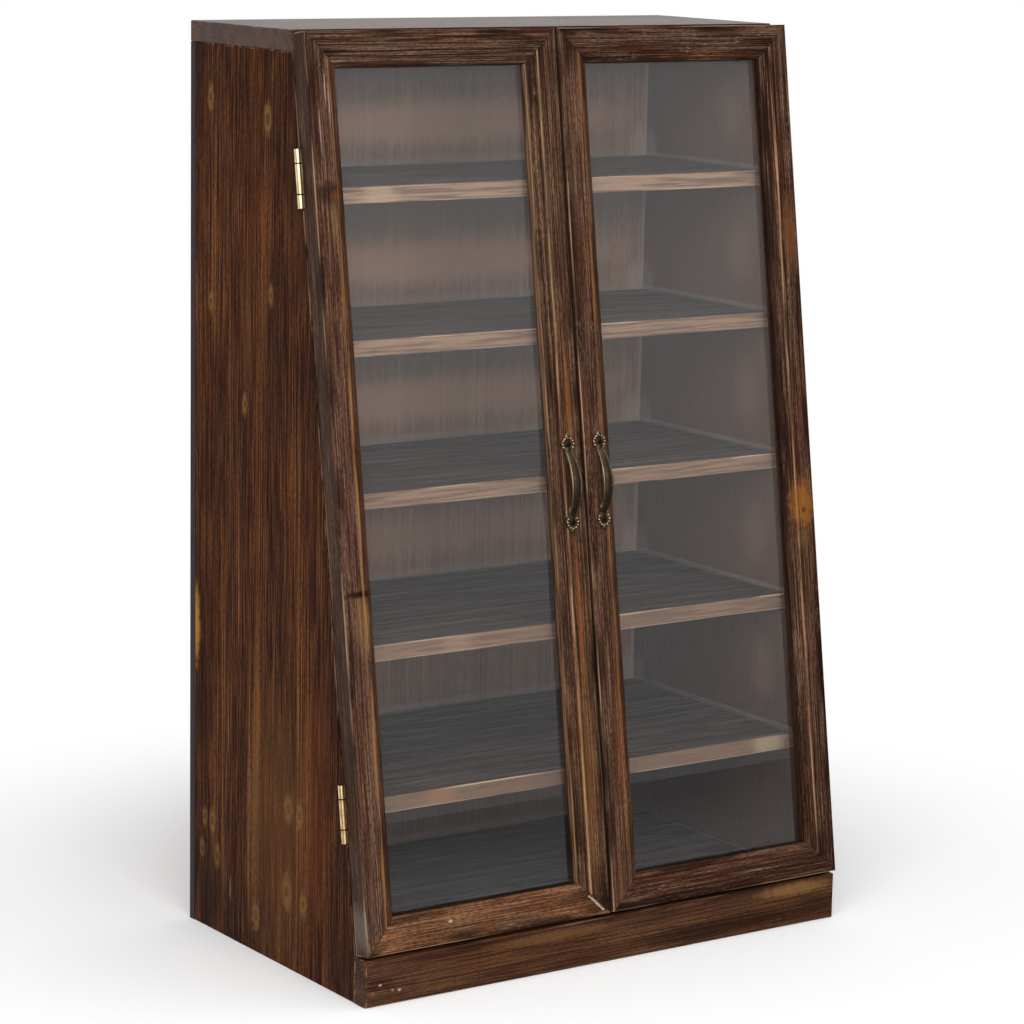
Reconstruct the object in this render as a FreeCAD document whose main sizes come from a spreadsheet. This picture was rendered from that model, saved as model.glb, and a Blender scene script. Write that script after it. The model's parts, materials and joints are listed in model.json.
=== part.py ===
import FreeCAD, Part
import math
import os
import re
import Sketcher

# A table-top display cabinet with a sloping glazed front: a carcass of boards with housed shelves, and two
# mitred doors on brass butt hinges. Millimetres; +X to the right, +Y to the back, +Z up. The origin is on the
# floor, at the middle of the footprint.

# Driving dimensions. Each one is written once here and becomes a named cell of the sheet.
SIZES = {
    # Carcass boards
    "width": 500,
    "height": 800,
    "base_depth": 300,
    "slope": 8.5,
    "side_board": 18,
    "top_board": 18,
    "back_board": 9,
    "bottom_board": 16,
    "plinth_board": 18,
    "plinth_height": 41,
    "floor_drop": 1,
    "shelf_board": 14,
    "shelf_count": 5,
    "shelf_setback": 6,
    "housing_depth": 6,
    "housing_clearance": 0.1,
    "edge_round": 1.2,
    "plinth_round": 2.5,
    # Carcass fasteners
    "peg_radius": 3,
    "peg_clearance": 0.05,
    "peg_depth": 18,
    "peg_blind_depth": 11,
    "peg_inset": 25,
    "plinth_peg_spacing": 17,
    "nail_radius": 0.8,
    "nail_head_radius": 2,
    "nail_head": 0.6,
    "nail_length": 25,
    "floor_nail_spacing": 120,
    # Door frames and glass
    "door_board": 18,
    "door_foot_gap": 0.6,
    "meeting_gap": 3,
    "frame_width": 30,
    "frame_flat": 16.5,
    "frame_round": 1.2,
    "quirk_depth": 1,
    "lip_depth": 5.5,
    "glass_seat": 10.5,
    "rebate_width": 8,
    "glass_thickness": 3,
    "glass_clearance": 0.8,
    "bead_width": 7,
    "bead_lip": 2,
    "bead_flat": 3,
    "brad_radius": 0.5,
    "brad_length": 11,
    "brad_inset": 60,
    "dowel_radius": 2.5,
    "dowel_length": 14,
    # Hinges
    "hinge_length": 50,
    "hinge_inset": 119,
    "hinge_leaf": 1.1,
    "leaf_play": 0.3,
    "leaf_margin": 3,
    "leaf_edge": 0.3,
    "barrel_radius": 2.5,
    "barrel_clearance": 0.4,
    "knuckle_gap": 0.2,
    "hinge_pin_radius": 1.2,
    "hinge_pin_clearance": 0.05,
    "hinge_screw_spacing": 30,
    "hinge_screw_radius": 1.25,
    "hinge_screw_head": 2.4,
    "hinge_screw_length": 12,
    # Handles
    "handle_drop": 389,
    "handle_spacing": 67,
    "rosette_radius": 6.6,
    "rosette_height": 2.2,
    "finial_radius": 3.4,
    "finial_reach": 6,
    "bow_half_length": 30,
    "bow_height": 13,
    "bow_foot": 4,
    "band_thickness": 2.5,
    "band_width": 9,
    "band_neck": 5,
    "handle_screw_radius": 1.4,
    "handle_screw_head": 2.6,
    "handle_screw_head_height": 1.2,
    "handle_screw_length": 14,
    "screw_clearance": 0.05,
}

# Places worked out from the driving dimensions. The front frame is a slanted one: its origin is where the
# side's front edge leaves the plinth, its Y axis goes square into the carcass and its Z axis up the slope.
LAYOUT = {
    "hinge_gap": "2 * hinge_leaf + leaf_play",
    "face_y": "-(hinge_gap + door_board)",
    "foot_reach": "-face_y * cos(slope) - door_foot_gap * sin(slope)"
                  " - frame_round * (cos(slope) + sin(slope) - 1)",
    "overall_depth": "max(base_depth; base_depth - plinth_board + foot_reach)",
    "half_width": "width / 2",
    "inner_half": "half_width - side_board",
    "back_y": "overall_depth / 2",
    "side_back": "back_y - back_board",
    "front_y": "back_y - base_depth + plinth_board",
    "front_z": "plinth_height",
    "top_under": "height - top_board",
    "top_front": "front_y + (height - front_z) * tan(slope)",
    "under_front": "front_y + (top_under - front_z) * tan(slope)",
    "floor_top": "plinth_height - floor_drop",
    "floor_under": "floor_top - bottom_board",
    "shelf_pitch": "(top_under - floor_top + shelf_board) / (shelf_count + 1)",
    "compartment": "shelf_pitch - shelf_board",
    "housed_half": "inner_half + housing_depth - housing_clearance",
    "side_core": "half_width - (side_board - housing_depth) / 2",
    "door_foot": "door_foot_gap",
    "door_head": "(height - front_z + face_y * sin(slope)) / cos(slope)",
    "door_edge": "meeting_gap / 2",
    "rebate_edge": "frame_width - rebate_width",
    "glass_back": "glass_seat + glass_thickness",
    "ovolo_radius": "((frame_width - frame_flat)^2 + (lip_depth - quirk_depth)^2)"
                    " / (2 * (lip_depth - quirk_depth))",
    "barrel_x": "half_width + barrel_radius + barrel_clearance",
    "barrel_y": "-hinge_gap / 2",
    "knuckle": "hinge_length / 4",
    "leaf_far": "half_width - leaf_edge",
    "leaf_near": "inner_half + leaf_margin",
    "leaf_middle": "(leaf_far + leaf_near) / 2",
    "lower_hinge_z": "door_foot + hinge_inset",
    "upper_hinge_z": "door_head - hinge_inset",
    "handle_x": "door_edge + frame_width / 2",
    "handle_z": "door_head - handle_drop",
    "rosette_y": "face_y - rosette_height",
    "bow_radius": "(bow_half_length^2 + bow_height^2) / (2 * bow_height)",
    "bow_inner_half": "bow_half_length - bow_foot",
    "bow_inner_height": "bow_height - band_thickness",
    "bow_inner_radius": "(bow_inner_half^2 + bow_inner_height^2) / (2 * bow_inner_height)",
    "leaf_bulge": "(band_width - band_neck) / 2",
    "band_side_radius": "(bow_half_length^2 + leaf_bulge^2) / (2 * leaf_bulge)",
}

# How far a saw cut or a drilled hole runs past the wood.
OVERCUT = 1

# The angle of the saw cuts at the door frames' corners, in degrees.
MITRE = 45

# Two places nearer than this are the same place.
SAME = 0.01

# The cabinet's two sides, as signs of X.
SIDES = {"left": -1, "right": 1}

# The front frame, and turns that lay a rod, which stands along +Z, along another direction.
FRONT = "placement(vector(0; front_y; front_z); rotation(vector(1; 0; 0); -slope))"
TURNS = {
    "up": "rotation(vector(0; 0; 1); 0)",
    "down": "rotation(vector(1; 0; 0); 180)",
    "right": "rotation(vector(0; 1; 0); 90)",
    "left": "rotation(vector(0; 1; 0); -90)",
    "back": "rotation(vector(1; 0; 0); -90)",
    "front": "rotation(vector(1; 0; 0); 90)",
    "up_right": f"rotation(vector(0; 1; 0); {MITRE})",
    "down_right": f"rotation(vector(0; 1; 0); {180 - MITRE})",
}

doc = FreeCAD.newDocument("DisplayCabinet")
nodes = {}


def tie(text):
    """Return an expression with every size and place written as its sheet's cell."""
    def cell(match):
        word = match.group(0)
        if word in SIZES:
            return "Sizes." + word
        return "Layout." + word if word in LAYOUT else word
    return re.sub(r"[A-Za-z_]\w*", cell, text)


def fill_sheet(name, rows):
    sheet = doc.addObject("Spreadsheet::Sheet", name)
    for row, (alias, content) in enumerate(rows.items(), 1):
        sheet.set(f"A{row}", alias)
        sheet.set(f"B{row}", str(content))
        sheet.setAlias(f"B{row}", alias)
    doc.recompute()
    return sheet


sizes = fill_sheet("Sizes", SIZES)
fill_sheet("Layout", {alias: "=" + tie(formula) for alias, formula in LAYOUT.items()})


def bind(piece, prop, text):
    piece.setExpression(prop, tie(text))


def value(text):
    return float(sizes.evalExpression(tie(text)))


def place(piece, x, y, z, front=False, turn="up"):
    """Bind a piece's Placement to a point, in the cabinet's frame or in the slanted front frame."""
    spot = f"placement(vector({x}; {y}; {z}); {TURNS[turn]})"
    bind(piece, "Placement", f"{FRONT} * {spot}" if front else spot)


def signed(sign, text):
    return f"{sign} * ({text})"


def span(sign, near, far):
    """Return the low and high X of a stretch from near to far of the middle, on one side of it."""
    return (near, far) if sign > 0 else (signed(-1, far), signed(-1, near))


def block(name, x, y, z, front=False):
    """A box between two corners, each given as (low, high) along one axis."""
    piece = doc.addObject("Part::Box", name)
    for prop, (low, high) in (("Length", x), ("Width", y), ("Height", z)):
        bind(piece, prop, f"({high}) - ({low})")
    place(piece, x[0], y[0], z[0], front)
    return piece


def rod(name, radius, length, spot, turn, front=False):
    piece = doc.addObject("Part::Cylinder", name)
    bind(piece, "Radius", radius)
    bind(piece, "Height", length)
    place(piece, *spot, front, turn)
    return piece


def cone(name, wide, narrow, length, spot, turn, front=False):
    piece = doc.addObject("Part::Cone", name)
    bind(piece, "Radius1", wide)
    bind(piece, "Radius2", narrow)
    bind(piece, "Height", length)
    place(piece, *spot, front, turn)
    return piece


def fuse(name, pieces):
    joined = doc.addObject("Part::MultiFuse", name)
    joined.Shapes = pieces
    return joined


def gather(name, pieces):
    """Keep separate solids together in one object."""
    group = doc.addObject("Part::Compound", name)
    group.Links = pieces
    return group


def drill(name, blank, holes):
    """Cut the holes out of a blank, and check that each set of them removes something."""
    piece = blank
    for number, tool in enumerate(holes, 1):
        cut = doc.addObject("Part::Cut", f"{name}_drilled_{number}")
        cut.Base = piece
        cut.Tool = tool
        doc.recompute()
        if cut.Shape.Volume >= piece.Shape.Volume:
            raise RuntimeError(f"{tool.Label} misses {name}")
        piece = cut
    return keep(name, piece)


def keep(name, piece):
    """Name a finished sub-part; its label names its file."""
    piece.Label = name
    nodes[name] = piece
    return piece


def new_body(name, front=False):
    body = doc.addObject("PartDesign::Body", name)
    place(body, "0", "0", "0", front)
    return body


def arc_between(start, end, radius, side):
    """The arc from start to end with its centre to the left (side 1) or right (-1) of the way there."""
    run = end - start
    rise = math.sqrt(max(radius ** 2 - (run.Length / 2) ** 2, 0))
    normal = FreeCAD.Vector(-run.y, run.x, 0).normalize()
    centre = (start + end) / 2 + normal * (rise * side)
    middle = centre + ((start + end) / 2 - centre).normalize() * radius if rise else start + run / 2
    return Part.ArcOfCircle(start, middle, end) if side > 0 else Part.ArcOfCircle(end, middle, start)


def add_loop(sketch, points, arcs=None):
    """Draw one closed loop whose corners, and the radii of its arcs, are bound to the sheets."""
    arcs = arcs or {}
    corners = [FreeCAD.Vector(value(x), value(y), 0) for x, y in points]
    ends = []
    for index, start in enumerate(corners):
        end = corners[(index + 1) % len(corners)]
        if index in arcs:
            radius, side = arcs[index]
            edge = arc_between(start, end, value(radius), side)
        else:
            edge = Part.LineSegment(start, end)
        number = sketch.addGeometry(edge)
        begins_here = edge.StartPoint.distanceToPoint(start) < edge.StartPoint.distanceToPoint(end)
        ends.append((number, 1, 2) if begins_here else (number, 2, 1))
        if index in arcs:
            mark = sketch.addConstraint(Sketcher.Constraint("Radius", number, value(radius)))
            bind(sketch, f"Constraints[{mark}]", radius)
    for index, (number, first, last) in enumerate(ends):
        next_number, next_first, _ = ends[(index + 1) % len(ends)]
        sketch.addConstraint(Sketcher.Constraint("Coincident", number, last, next_number, next_first))
        for kind, text in zip(("DistanceX", "DistanceY"), points[index]):
            mark = sketch.addConstraint(Sketcher.Constraint(kind, -1, 1, number, first, value(text)))
            bind(sketch, f"Constraints[{mark}]", text)


def new_sketch(body, name, plane, offset="0"):
    sketch = body.newObject("Sketcher::SketchObject", name)
    support = next(item for item in body.Origin.OriginFeatures if item.Role == plane)
    sketch.AttachmentSupport = [(support, "")]
    sketch.MapMode = "FlatFace"
    bind(sketch, "AttachmentOffset.Base.z", offset)
    return sketch


def pad(body, name, plane, offset, length, points, arcs=None):
    sketch = new_sketch(body, name + "_outline", plane, offset)
    add_loop(sketch, points, arcs)
    feature = body.newObject("PartDesign::Pad", name)
    feature.Profile = sketch
    bind(feature, "Length", length)
    doc.recompute()
    return feature


def pocket(body, name, plane, loops, offset="0", depth=None, toward=-1):
    """Cut loops out of a body: right through, or to a depth along the sketch's normal (1) or against it (-1)."""
    before = body.Shape.Volume
    sketch = new_sketch(body, name + "_outline", plane, offset)
    for points in loops:
        add_loop(sketch, points)
    feature = body.newObject("PartDesign::Pocket", name)
    feature.Profile = sketch
    if depth is None:
        feature.Type = "ThroughAll"
        feature.SideType = "Symmetric"
    else:
        feature.Reversed = toward > 0
        bind(feature, "Length", depth)
    doc.recompute()
    if body.Shape.Volume >= before:
        raise RuntimeError(f"{name} cuts nothing")
    return feature


def ease(body, name, radius, wanted):
    """Round the edges whose middle point passes a test."""
    base = body.Tip
    chosen = []
    for number, edge in enumerate(base.Shape.Edges, 1):
        if wanted(edge.CenterOfMass):
            chosen.append(f"Edge{number}")
    feature = body.newObject("PartDesign::Fillet", name)
    feature.Base = (base, chosen)
    bind(feature, "Radius", radius)
    doc.recompute()


def near(number, text):
    return abs(number - value(text)) < SAME


def board(name, x, y, z):
    """A square-cut board in the cabinet's frame."""
    body = new_body(name + "_board")
    corners = [(x[0], y[0]), (x[1], y[0]), (x[1], y[1]), (x[0], y[1])]
    pad(body, name + "_pad", "XY_Plane", z[0], f"({z[1]}) - ({z[0]})", corners)
    return body


def shelf_top(number):
    return f"(floor_top + {number} * shelf_pitch)"


def shelf_front(number):
    return f"(front_y + ({shelf_top(number)} - front_z) * tan(slope) + shelf_setback)"


shelf_numbers = range(1, int(SIZES["shelf_count"]) + 1)


def peg_rods(name, spots, turn, blind, extra="0"):
    """Wooden pegs, or their holes where extra is a clearance, from their blind ends."""
    pieces = []
    for number, spot in enumerate(spots, 1):
        pieces.append(rod(f"{name}_{number}", f"peg_radius + {extra}", f"peg_depth + {blind}", spot, turn))
    return gather(name, pieces)


def top_peg_spots():
    """Where the pegs that hold the top panel end inside the tops of the sides."""
    rows = ("under_front + peg_inset", "(under_front + side_back) / 2", "side_back - peg_inset")
    return [(signed(sign, "side_core"), y, "top_under - peg_depth") for sign in SIDES.values() for y in rows]


def plinth_peg_spots():
    """Where the pegs that hold the plinth end inside the plinth board."""
    spots = []
    for sign in SIDES.values():
        for step in (-1, 1):
            z = f"plinth_height / 2 + {step} * plinth_peg_spacing / 2"
            spots.append((signed(sign, "side_core"), "front_y - peg_blind_depth", z))
    return spots


def nail_spots():
    """Back panel nails: one to a compartment along each side, and a row into the bottom panel."""
    spots = []
    for sign in SIDES.values():
        for number in range(len(shelf_numbers) + 1):
            spots.append((signed(sign, "side_core"), "back_y", f"{shelf_top(number)} + compartment / 2"))
    for step in (-1, 0, 1):
        spots.append((f"{step} * floor_nail_spacing", "back_y", "floor_top - bottom_board / 2"))
    return spots


def nails(name, extra="0"):
    pieces = []
    for number, spot in enumerate(nail_spots(), 1):
        head = rod(f"{name}_head_{number}", f"nail_head_radius + {extra}", f"nail_head + {extra}", spot, "front")
        shank = rod(f"{name}_shank_{number}", f"nail_radius + {extra}", f"nail_length + {extra}", spot, "front")
        pieces.append(fuse(f"{name}_{number}", [head, shank]))
    return gather(name, pieces)


def hinge_screws(name, sign, door, extra="0"):
    """Countersunk screws of one side's two hinges, in the leaves on the door or on the carcass."""
    outer, turn, step = ("-hinge_leaf - leaf_play", "front", -1) if door else ("-hinge_leaf", "back", 1)
    pieces = []
    for level in ("lower_hinge_z", "upper_hinge_z"):
        for end in (-1, 1):
            tag = f"{name}_{len(pieces) + 1}"
            x = signed(sign, "leaf_middle")
            z = f"{level} + {end} * hinge_screw_spacing / 2"
            head = cone(tag + "_head", f"hinge_screw_head + {extra}", f"hinge_screw_radius + {extra}",
                        "hinge_leaf", (x, outer, z), turn, True)
            root = (x, f"{outer} + {step} * hinge_leaf", z)
            shank = rod(tag + "_shank", f"hinge_screw_radius + {extra}", f"hinge_screw_length + {extra}",
                        root, turn, True)
            pieces.append(fuse(tag, [head, shank]))
    return gather(name, pieces)


def handle_screws(name, sign, extra="0"):
    """Round-headed screws that hold a handle, one through each rosette."""
    pieces = []
    for end in (-1, 1):
        tag = f"{name}_{len(pieces) + 1}"
        spot = (signed(sign, "handle_x"), "rosette_y", f"handle_z + {end} * handle_spacing / 2")
        shank = rod(tag + "_shank", f"handle_screw_radius + {extra}", f"handle_screw_length + {extra}",
                    spot, "back", True)
        head = rod(tag + "_head", "handle_screw_head", "handle_screw_head_height", spot, "front", True)
        pieces.append(fuse(tag, [head, shank]))
    return gather(name, pieces)


def corner_dowels(name, sign, extra="0"):
    """Dowels across the four mitres of a door, square to the saw cuts and in the middle of the solid wood."""
    low, high = span(sign, "door_edge", "half_width")
    across = "(rebate_edge / 2)"
    half_step = f"(dowel_length / 2 + {extra}) * sin({MITRE})"
    starts = {
        "foot_left": (f"{low} + {across} - {half_step}", f"door_foot + {across} + {half_step}", "down_right"),
        "foot_right": (f"{high} - {across} - {half_step}", f"door_foot + {across} - {half_step}", "up_right"),
        "head_left": (f"{low} + {across} - {half_step}", f"door_head - {across} - {half_step}", "up_right"),
        "head_right": (f"{high} - {across} - {half_step}", f"door_head - {across} + {half_step}", "down_right"),
    }
    pieces = []
    for corner, (x, z, turn) in starts.items():
        spot = (x, "face_y + door_board / 2", z)
        pieces.append(rod(f"{name}_{corner}", f"dowel_radius + {extra}", f"dowel_length + 2 * {extra}",
                          spot, turn, True))
    return gather(name, pieces)


def bead_brads(name, sign, extra="0"):
    """Brads through the glazing beads into the rebate, two to each bead, driven away from the glass."""
    low, high = span(sign, "door_edge", "half_width")
    y = "face_y + glass_back + bead_lip / 2"
    reach = "rebate_edge + bead_width"
    spots = []
    for z in ("door_foot + rebate_edge + brad_inset", "door_head - rebate_edge - brad_inset"):
        spots.append((f"{low} + {reach}", y, z, "left"))
        spots.append((f"{high} - {reach}", y, z, "right"))
    for x in (f"{low} + rebate_edge + brad_inset", f"{high} - rebate_edge - brad_inset"):
        spots.append((x, y, f"door_foot + {reach}", "down"))
        spots.append((x, y, f"door_head - {reach}", "up"))
    pieces = []
    for number, (x, y, z, turn) in enumerate(spots, 1):
        pieces.append(rod(f"{name}_{number}", f"brad_radius + {extra}", f"brad_length + {extra}",
                          (x, y, z), turn, True))
    return gather(name, pieces)


def make_top_panel(pegs):
    body = new_body("top_board_body")
    corners = [("under_front", "top_under"), ("back_y", "top_under"), ("back_y", "height"),
               ("top_front", "height")]
    pad(body, "top_pad", "YZ_Plane", "-half_width", "width", corners)
    ease(body, "top_eased", "edge_round",
         lambda spot: near(abs(spot.x), "half_width") or near(spot.y, "back_y") and near(spot.x, "0"))
    drill("top_panel", body, [pegs])


def make_side_panel(side, sign, holes):
    """A side with its sloping front edge, and the housings that the bottom panel and the shelves slide into."""
    name = f"{side}_side_panel"
    body = new_body(name + "_board")
    low, _ = span(sign, "inner_half", "half_width")
    corners = [("side_back", "0"), ("side_back", "top_under"), ("under_front", "top_under"),
               ("front_y", "front_z"), ("front_y", "0")]
    pad(body, name + "_pad", "YZ_Plane", low, "side_board", corners)
    housings = [(f"front_y - {OVERCUT}", "floor_under", "floor_top")]
    for number in shelf_numbers:
        housings.append((shelf_front(number), f"{shelf_top(number)} - shelf_board", shelf_top(number)))
    loops = []
    for front, bottom, top in housings:
        back = f"side_back + {OVERCUT}"
        raised = f"{top} + housing_clearance"
        loops.append([(front, bottom), (back, bottom), (back, raised), (front, raised)])
    pocket(body, name + "_housings", "YZ_Plane", loops, signed(sign, "inner_half"), "housing_depth", sign)
    ease(body, name + "_eased", "edge_round",
         lambda spot: near(spot.x, signed(sign, "half_width")) and not near(spot.z, "top_under"))
    drill(name, body, holes)


def make_back_panel(nail_holes):
    body = board("back_panel", ("-half_width", "half_width"), ("side_back", "back_y"), ("0", "top_under"))
    ease(body, "back_eased", "edge_round", lambda spot: near(spot.y, "back_y"))
    drill("back_panel", body, [nail_holes])


def make_bottom_panel(nail_holes):
    body = board("bottom_panel", ("-housed_half", "housed_half"), ("front_y", "side_back"),
                 ("floor_under", "floor_top"))
    drill("bottom_panel", body, [nail_holes])


def make_plinth(pegs):
    body = board("plinth_board", ("-half_width", "half_width"), ("front_y - plinth_board", "front_y"),
                 ("0", "plinth_height"))
    ease(body, "plinth_eased", "plinth_round", lambda spot: near(spot.y, "front_y - plinth_board"))
    drill("plinth_board", body, [pegs])


def make_shelves():
    for number in shelf_numbers:
        name = f"shelf_{number}"
        top = shelf_top(number)
        body = board(name, ("-housed_half", "housed_half"), (shelf_front(number), "side_back"),
                     (f"{top} - shelf_board", top))
        ease(body, name + "_eased", "edge_round",
             lambda spot: near(spot.y, shelf_front(number)) and near(spot.x, "0"))
        keep(name, body)


# The section of a door member, as (distance from its outer edge, depth behind its face): a flat, a small
# step, an ovolo down to the sight edge, and the rebate for the glass.
MEMBER_SECTION = [
    ("0", "frame_round"), ("frame_round", "0"), ("frame_flat", "0"), ("frame_flat", "quirk_depth"),
    ("frame_width", "lip_depth"), ("frame_width", "glass_seat"), ("rebate_edge", "glass_seat"),
    ("rebate_edge", "door_board"), ("0", "door_board"),
]
MEMBER_ARCS = {0: "frame_round", 3: "ovolo_radius"}

# The section of a glazing bead, in the same terms.
BEAD_SECTION = [
    ("rebate_edge", "glass_back"), ("rebate_edge + bead_width", "glass_back"),
    ("rebate_edge + bead_width", "glass_back + bead_lip"), ("rebate_edge + bead_flat", "door_board"),
    ("rebate_edge", "door_board"),
]


def upright(body, name, edge, toward, section, arcs, foot, head):
    """Run a section up the door. edge is the X of its outer edge, and toward the sign of the way inwards."""
    points = [(f"{edge} + {toward} * ({across})", f"face_y + {depth}") for across, depth in section]
    rounds = {index: (radius, toward) for index, radius in arcs.items()}
    pad(body, name, "XY_Plane", foot, f"({head}) - ({foot})", points, rounds)


def crossbar(body, name, edge, toward, section, arcs, low, high):
    """Run a section across the door. edge is the Z of its outer edge, and toward the sign of the way inwards."""
    points = [(f"face_y + {depth}", f"{edge} + {toward} * ({across})") for across, depth in section]
    rounds = {index: (radius, -toward) for index, radius in arcs.items()}
    pad(body, name, "YZ_Plane", low, f"({high}) - ({low})", points, rounds)


def make_stile(name, edge, toward, holes):
    body = new_body(name + "_stick", True)
    upright(body, name + "_pad", edge, toward, MEMBER_SECTION, MEMBER_ARCS, "door_foot", "door_head")
    outside = f"{edge} - {toward} * {OVERCUT}"
    inside = f"{edge} + {toward} * (frame_width + {OVERCUT})"
    loops = []
    for end, up in (("door_foot", 1), ("door_head", -1)):
        past = f"{end} - {up} * {OVERCUT}"
        loops.append([(outside, past), (inside, past), (inside, f"{end} + {up} * (frame_width + {OVERCUT})")])
    pocket(body, name + "_mitres", "XZ_Plane", loops)
    drill(name, body, holes)


def make_rail(name, edge, toward, low, high, holes):
    body = new_body(name + "_stick", True)
    crossbar(body, name + "_pad", edge, toward, MEMBER_SECTION, MEMBER_ARCS, low, high)
    outside = f"{edge} - {toward} * {OVERCUT}"
    inside = f"{edge} + {toward} * (frame_width + {OVERCUT})"
    loops = []
    for end, way in ((low, 1), (high, -1)):
        past = f"{end} - {way} * {OVERCUT}"
        loops.append([(past, outside), (past, inside), (f"{end} + {way} * (frame_width + {OVERCUT})", inside)])
    pocket(body, name + "_mitres", "XZ_Plane", loops)
    drill(name, body, holes)


def make_beads(name, sign, holes):
    """Four bevelled sticks behind the glass: the uprights run through, the crossbars fit between them."""
    low, high = span(sign, "door_edge", "half_width")
    bodies = []
    for label, edge, toward in (("left", low, 1), ("right", high, -1)):
        body = new_body(f"{name}_{label}", True)
        upright(body, f"{name}_{label}_pad", edge, toward, BEAD_SECTION, {},
                "door_foot + rebate_edge", "door_head - rebate_edge")
        bodies.append(body)
    between = "rebate_edge + bead_width"
    for label, edge, toward in (("foot", "door_foot", 1), ("head", "door_head", -1)):
        body = new_body(f"{name}_{label}", True)
        crossbar(body, f"{name}_{label}_pad", edge, toward, BEAD_SECTION, {},
                 f"{low} + {between}", f"{high} - ({between})")
        bodies.append(body)
    drill(name, gather(name + "_sticks", bodies), [holes])


def make_glass(name, sign):
    low, high = span(sign, "door_edge", "half_width")
    inset = "(rebate_edge + glass_clearance)"
    keep(name, block(name + "_sheet", (f"{low} + {inset}", f"{high} - {inset}"),
                     ("face_y + glass_seat", "face_y + glass_back"),
                     (f"door_foot + {inset}", f"door_head - {inset}"), True))


def make_handle(name, sign, holes):
    """A bow pull: two rosettes with finials, and an arched band that is widest in the middle."""
    x = signed(sign, "handle_x")
    band = new_body(name + "_band", True)
    arch = [("face_y", "handle_z - bow_half_length"), ("face_y", "handle_z + bow_half_length"),
            ("face_y", "handle_z + bow_inner_half"), ("face_y", "handle_z - bow_inner_half")]
    pad(band, name + "_arch", "YZ_Plane", f"{x} - band_width / 2", "band_width", arch,
        {0: ("bow_radius", -1), 2: ("bow_inner_radius", 1)})
    outline = new_body(name + "_outline", True)
    corners = [(f"{x} + {way} * band_neck / 2", f"handle_z + {end} * bow_half_length")
               for way, end in ((-1, -1), (1, -1), (1, 1), (-1, 1))]
    pad(outline, name + "_leaf", "XZ_Plane", f"-(face_y + {OVERCUT})", f"bow_height + 2 * {OVERCUT}", corners,
        {1: ("band_side_radius", 1), 3: ("band_side_radius", 1)})
    bow = doc.addObject("Part::Common", name + "_bow")
    bow.Base = band
    bow.Tool = outline
    pieces = [bow]
    for end in (-1, 1):
        middle = f"handle_z + {end} * handle_spacing / 2"
        pieces.append(rod(f"{name}_rosette_{len(pieces)}", "rosette_radius", "rosette_height",
                          (x, "face_y", middle), "front", True))
        pieces.append(rod(f"{name}_finial_{len(pieces)}", "finial_radius", "rosette_height",
                          (x, "face_y", f"{middle} + {end} * finial_reach"), "front", True))
    drill(name, fuse(name + "_casting", pieces), [holes])


def make_hinge_leaf(name, sign, level, door, holes):
    """A plate with its knuckles: the outer two on the door's leaf, the long middle one on the carcass leaf."""
    y = ("-hinge_gap", "hinge_leaf - hinge_gap") if door else ("-hinge_leaf", "0")
    foot = f"({level} - hinge_length / 2)"
    head = f"({level} + hinge_length / 2)"
    if door:
        knuckles = [(foot, f"{foot} + knuckle - knuckle_gap"), (f"{head} - knuckle + knuckle_gap", head)]
    else:
        knuckles = [(f"{foot} + knuckle", f"{head} - knuckle")]
    pieces = [block(name + "_plate", span(sign, "leaf_near", "leaf_far"), y, (foot, head), True)]
    for number, (low, high) in enumerate(knuckles, 1):
        pieces.append(block(f"{name}_tongue_{number}", span(sign, "leaf_far", "barrel_x"), y, (low, high), True))
        pieces.append(rod(f"{name}_barrel_{number}", "barrel_radius", f"({high}) - ({low})",
                          (signed(sign, "barrel_x"), "barrel_y", low), "up", True))
    drill(name, fuse(name + "_blank", pieces), holes)


def hinge_pin(name, sign, level, extra="0"):
    spot = (signed(sign, "barrel_x"), "barrel_y", f"{level} - hinge_length / 2 - {extra}")
    return rod(name, f"hinge_pin_radius + {extra}", f"hinge_length + 2 * {extra}", spot, "up", True)


def make_carcass_fasteners():
    """Make the pegs and nails, and return the holes that take them."""
    keep("top_panel_pegs", peg_rods("top_pegs", top_peg_spots(), "up", "peg_blind_depth"))
    keep("plinth_pegs", peg_rods("front_pegs", plinth_peg_spots(), "back", "peg_blind_depth"))
    keep("back_panel_nails", nails("nails"))
    return {
        "top": peg_rods("top_peg_holes", top_peg_spots(), "up", "peg_blind_depth", "peg_clearance"),
        "plinth": peg_rods("plinth_peg_holes", plinth_peg_spots(), "back", "peg_blind_depth", "peg_clearance"),
        "nails": nails("nail_holes", "screw_clearance"),
    }


def make_hinges(side, sign):
    """Make one side's two hinges and their screws, and return the screw holes for the carcass and the door."""
    holes = {}
    for door, place_name in ((False, "side"), (True, "door")):
        name = f"{side}_hinge_{place_name}_screws"
        keep(name, hinge_screws(name + "_set", sign, door))
        holes[place_name] = hinge_screws(name + "_holes", sign, door, "screw_clearance")
    for level in ("lower", "upper"):
        name = f"{side}_{level}_hinge"
        height = f"{level}_hinge_z"
        keep(name + "_pin", hinge_pin(name + "_rod", sign, height))
        bore = hinge_pin(name + "_bore", sign, height, "hinge_pin_clearance")
        make_hinge_leaf(name + "_side_leaf", sign, height, False, [bore, holes["side"]])
        make_hinge_leaf(name + "_door_leaf", sign, height, True, [bore, holes["door"]])
    return holes


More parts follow.
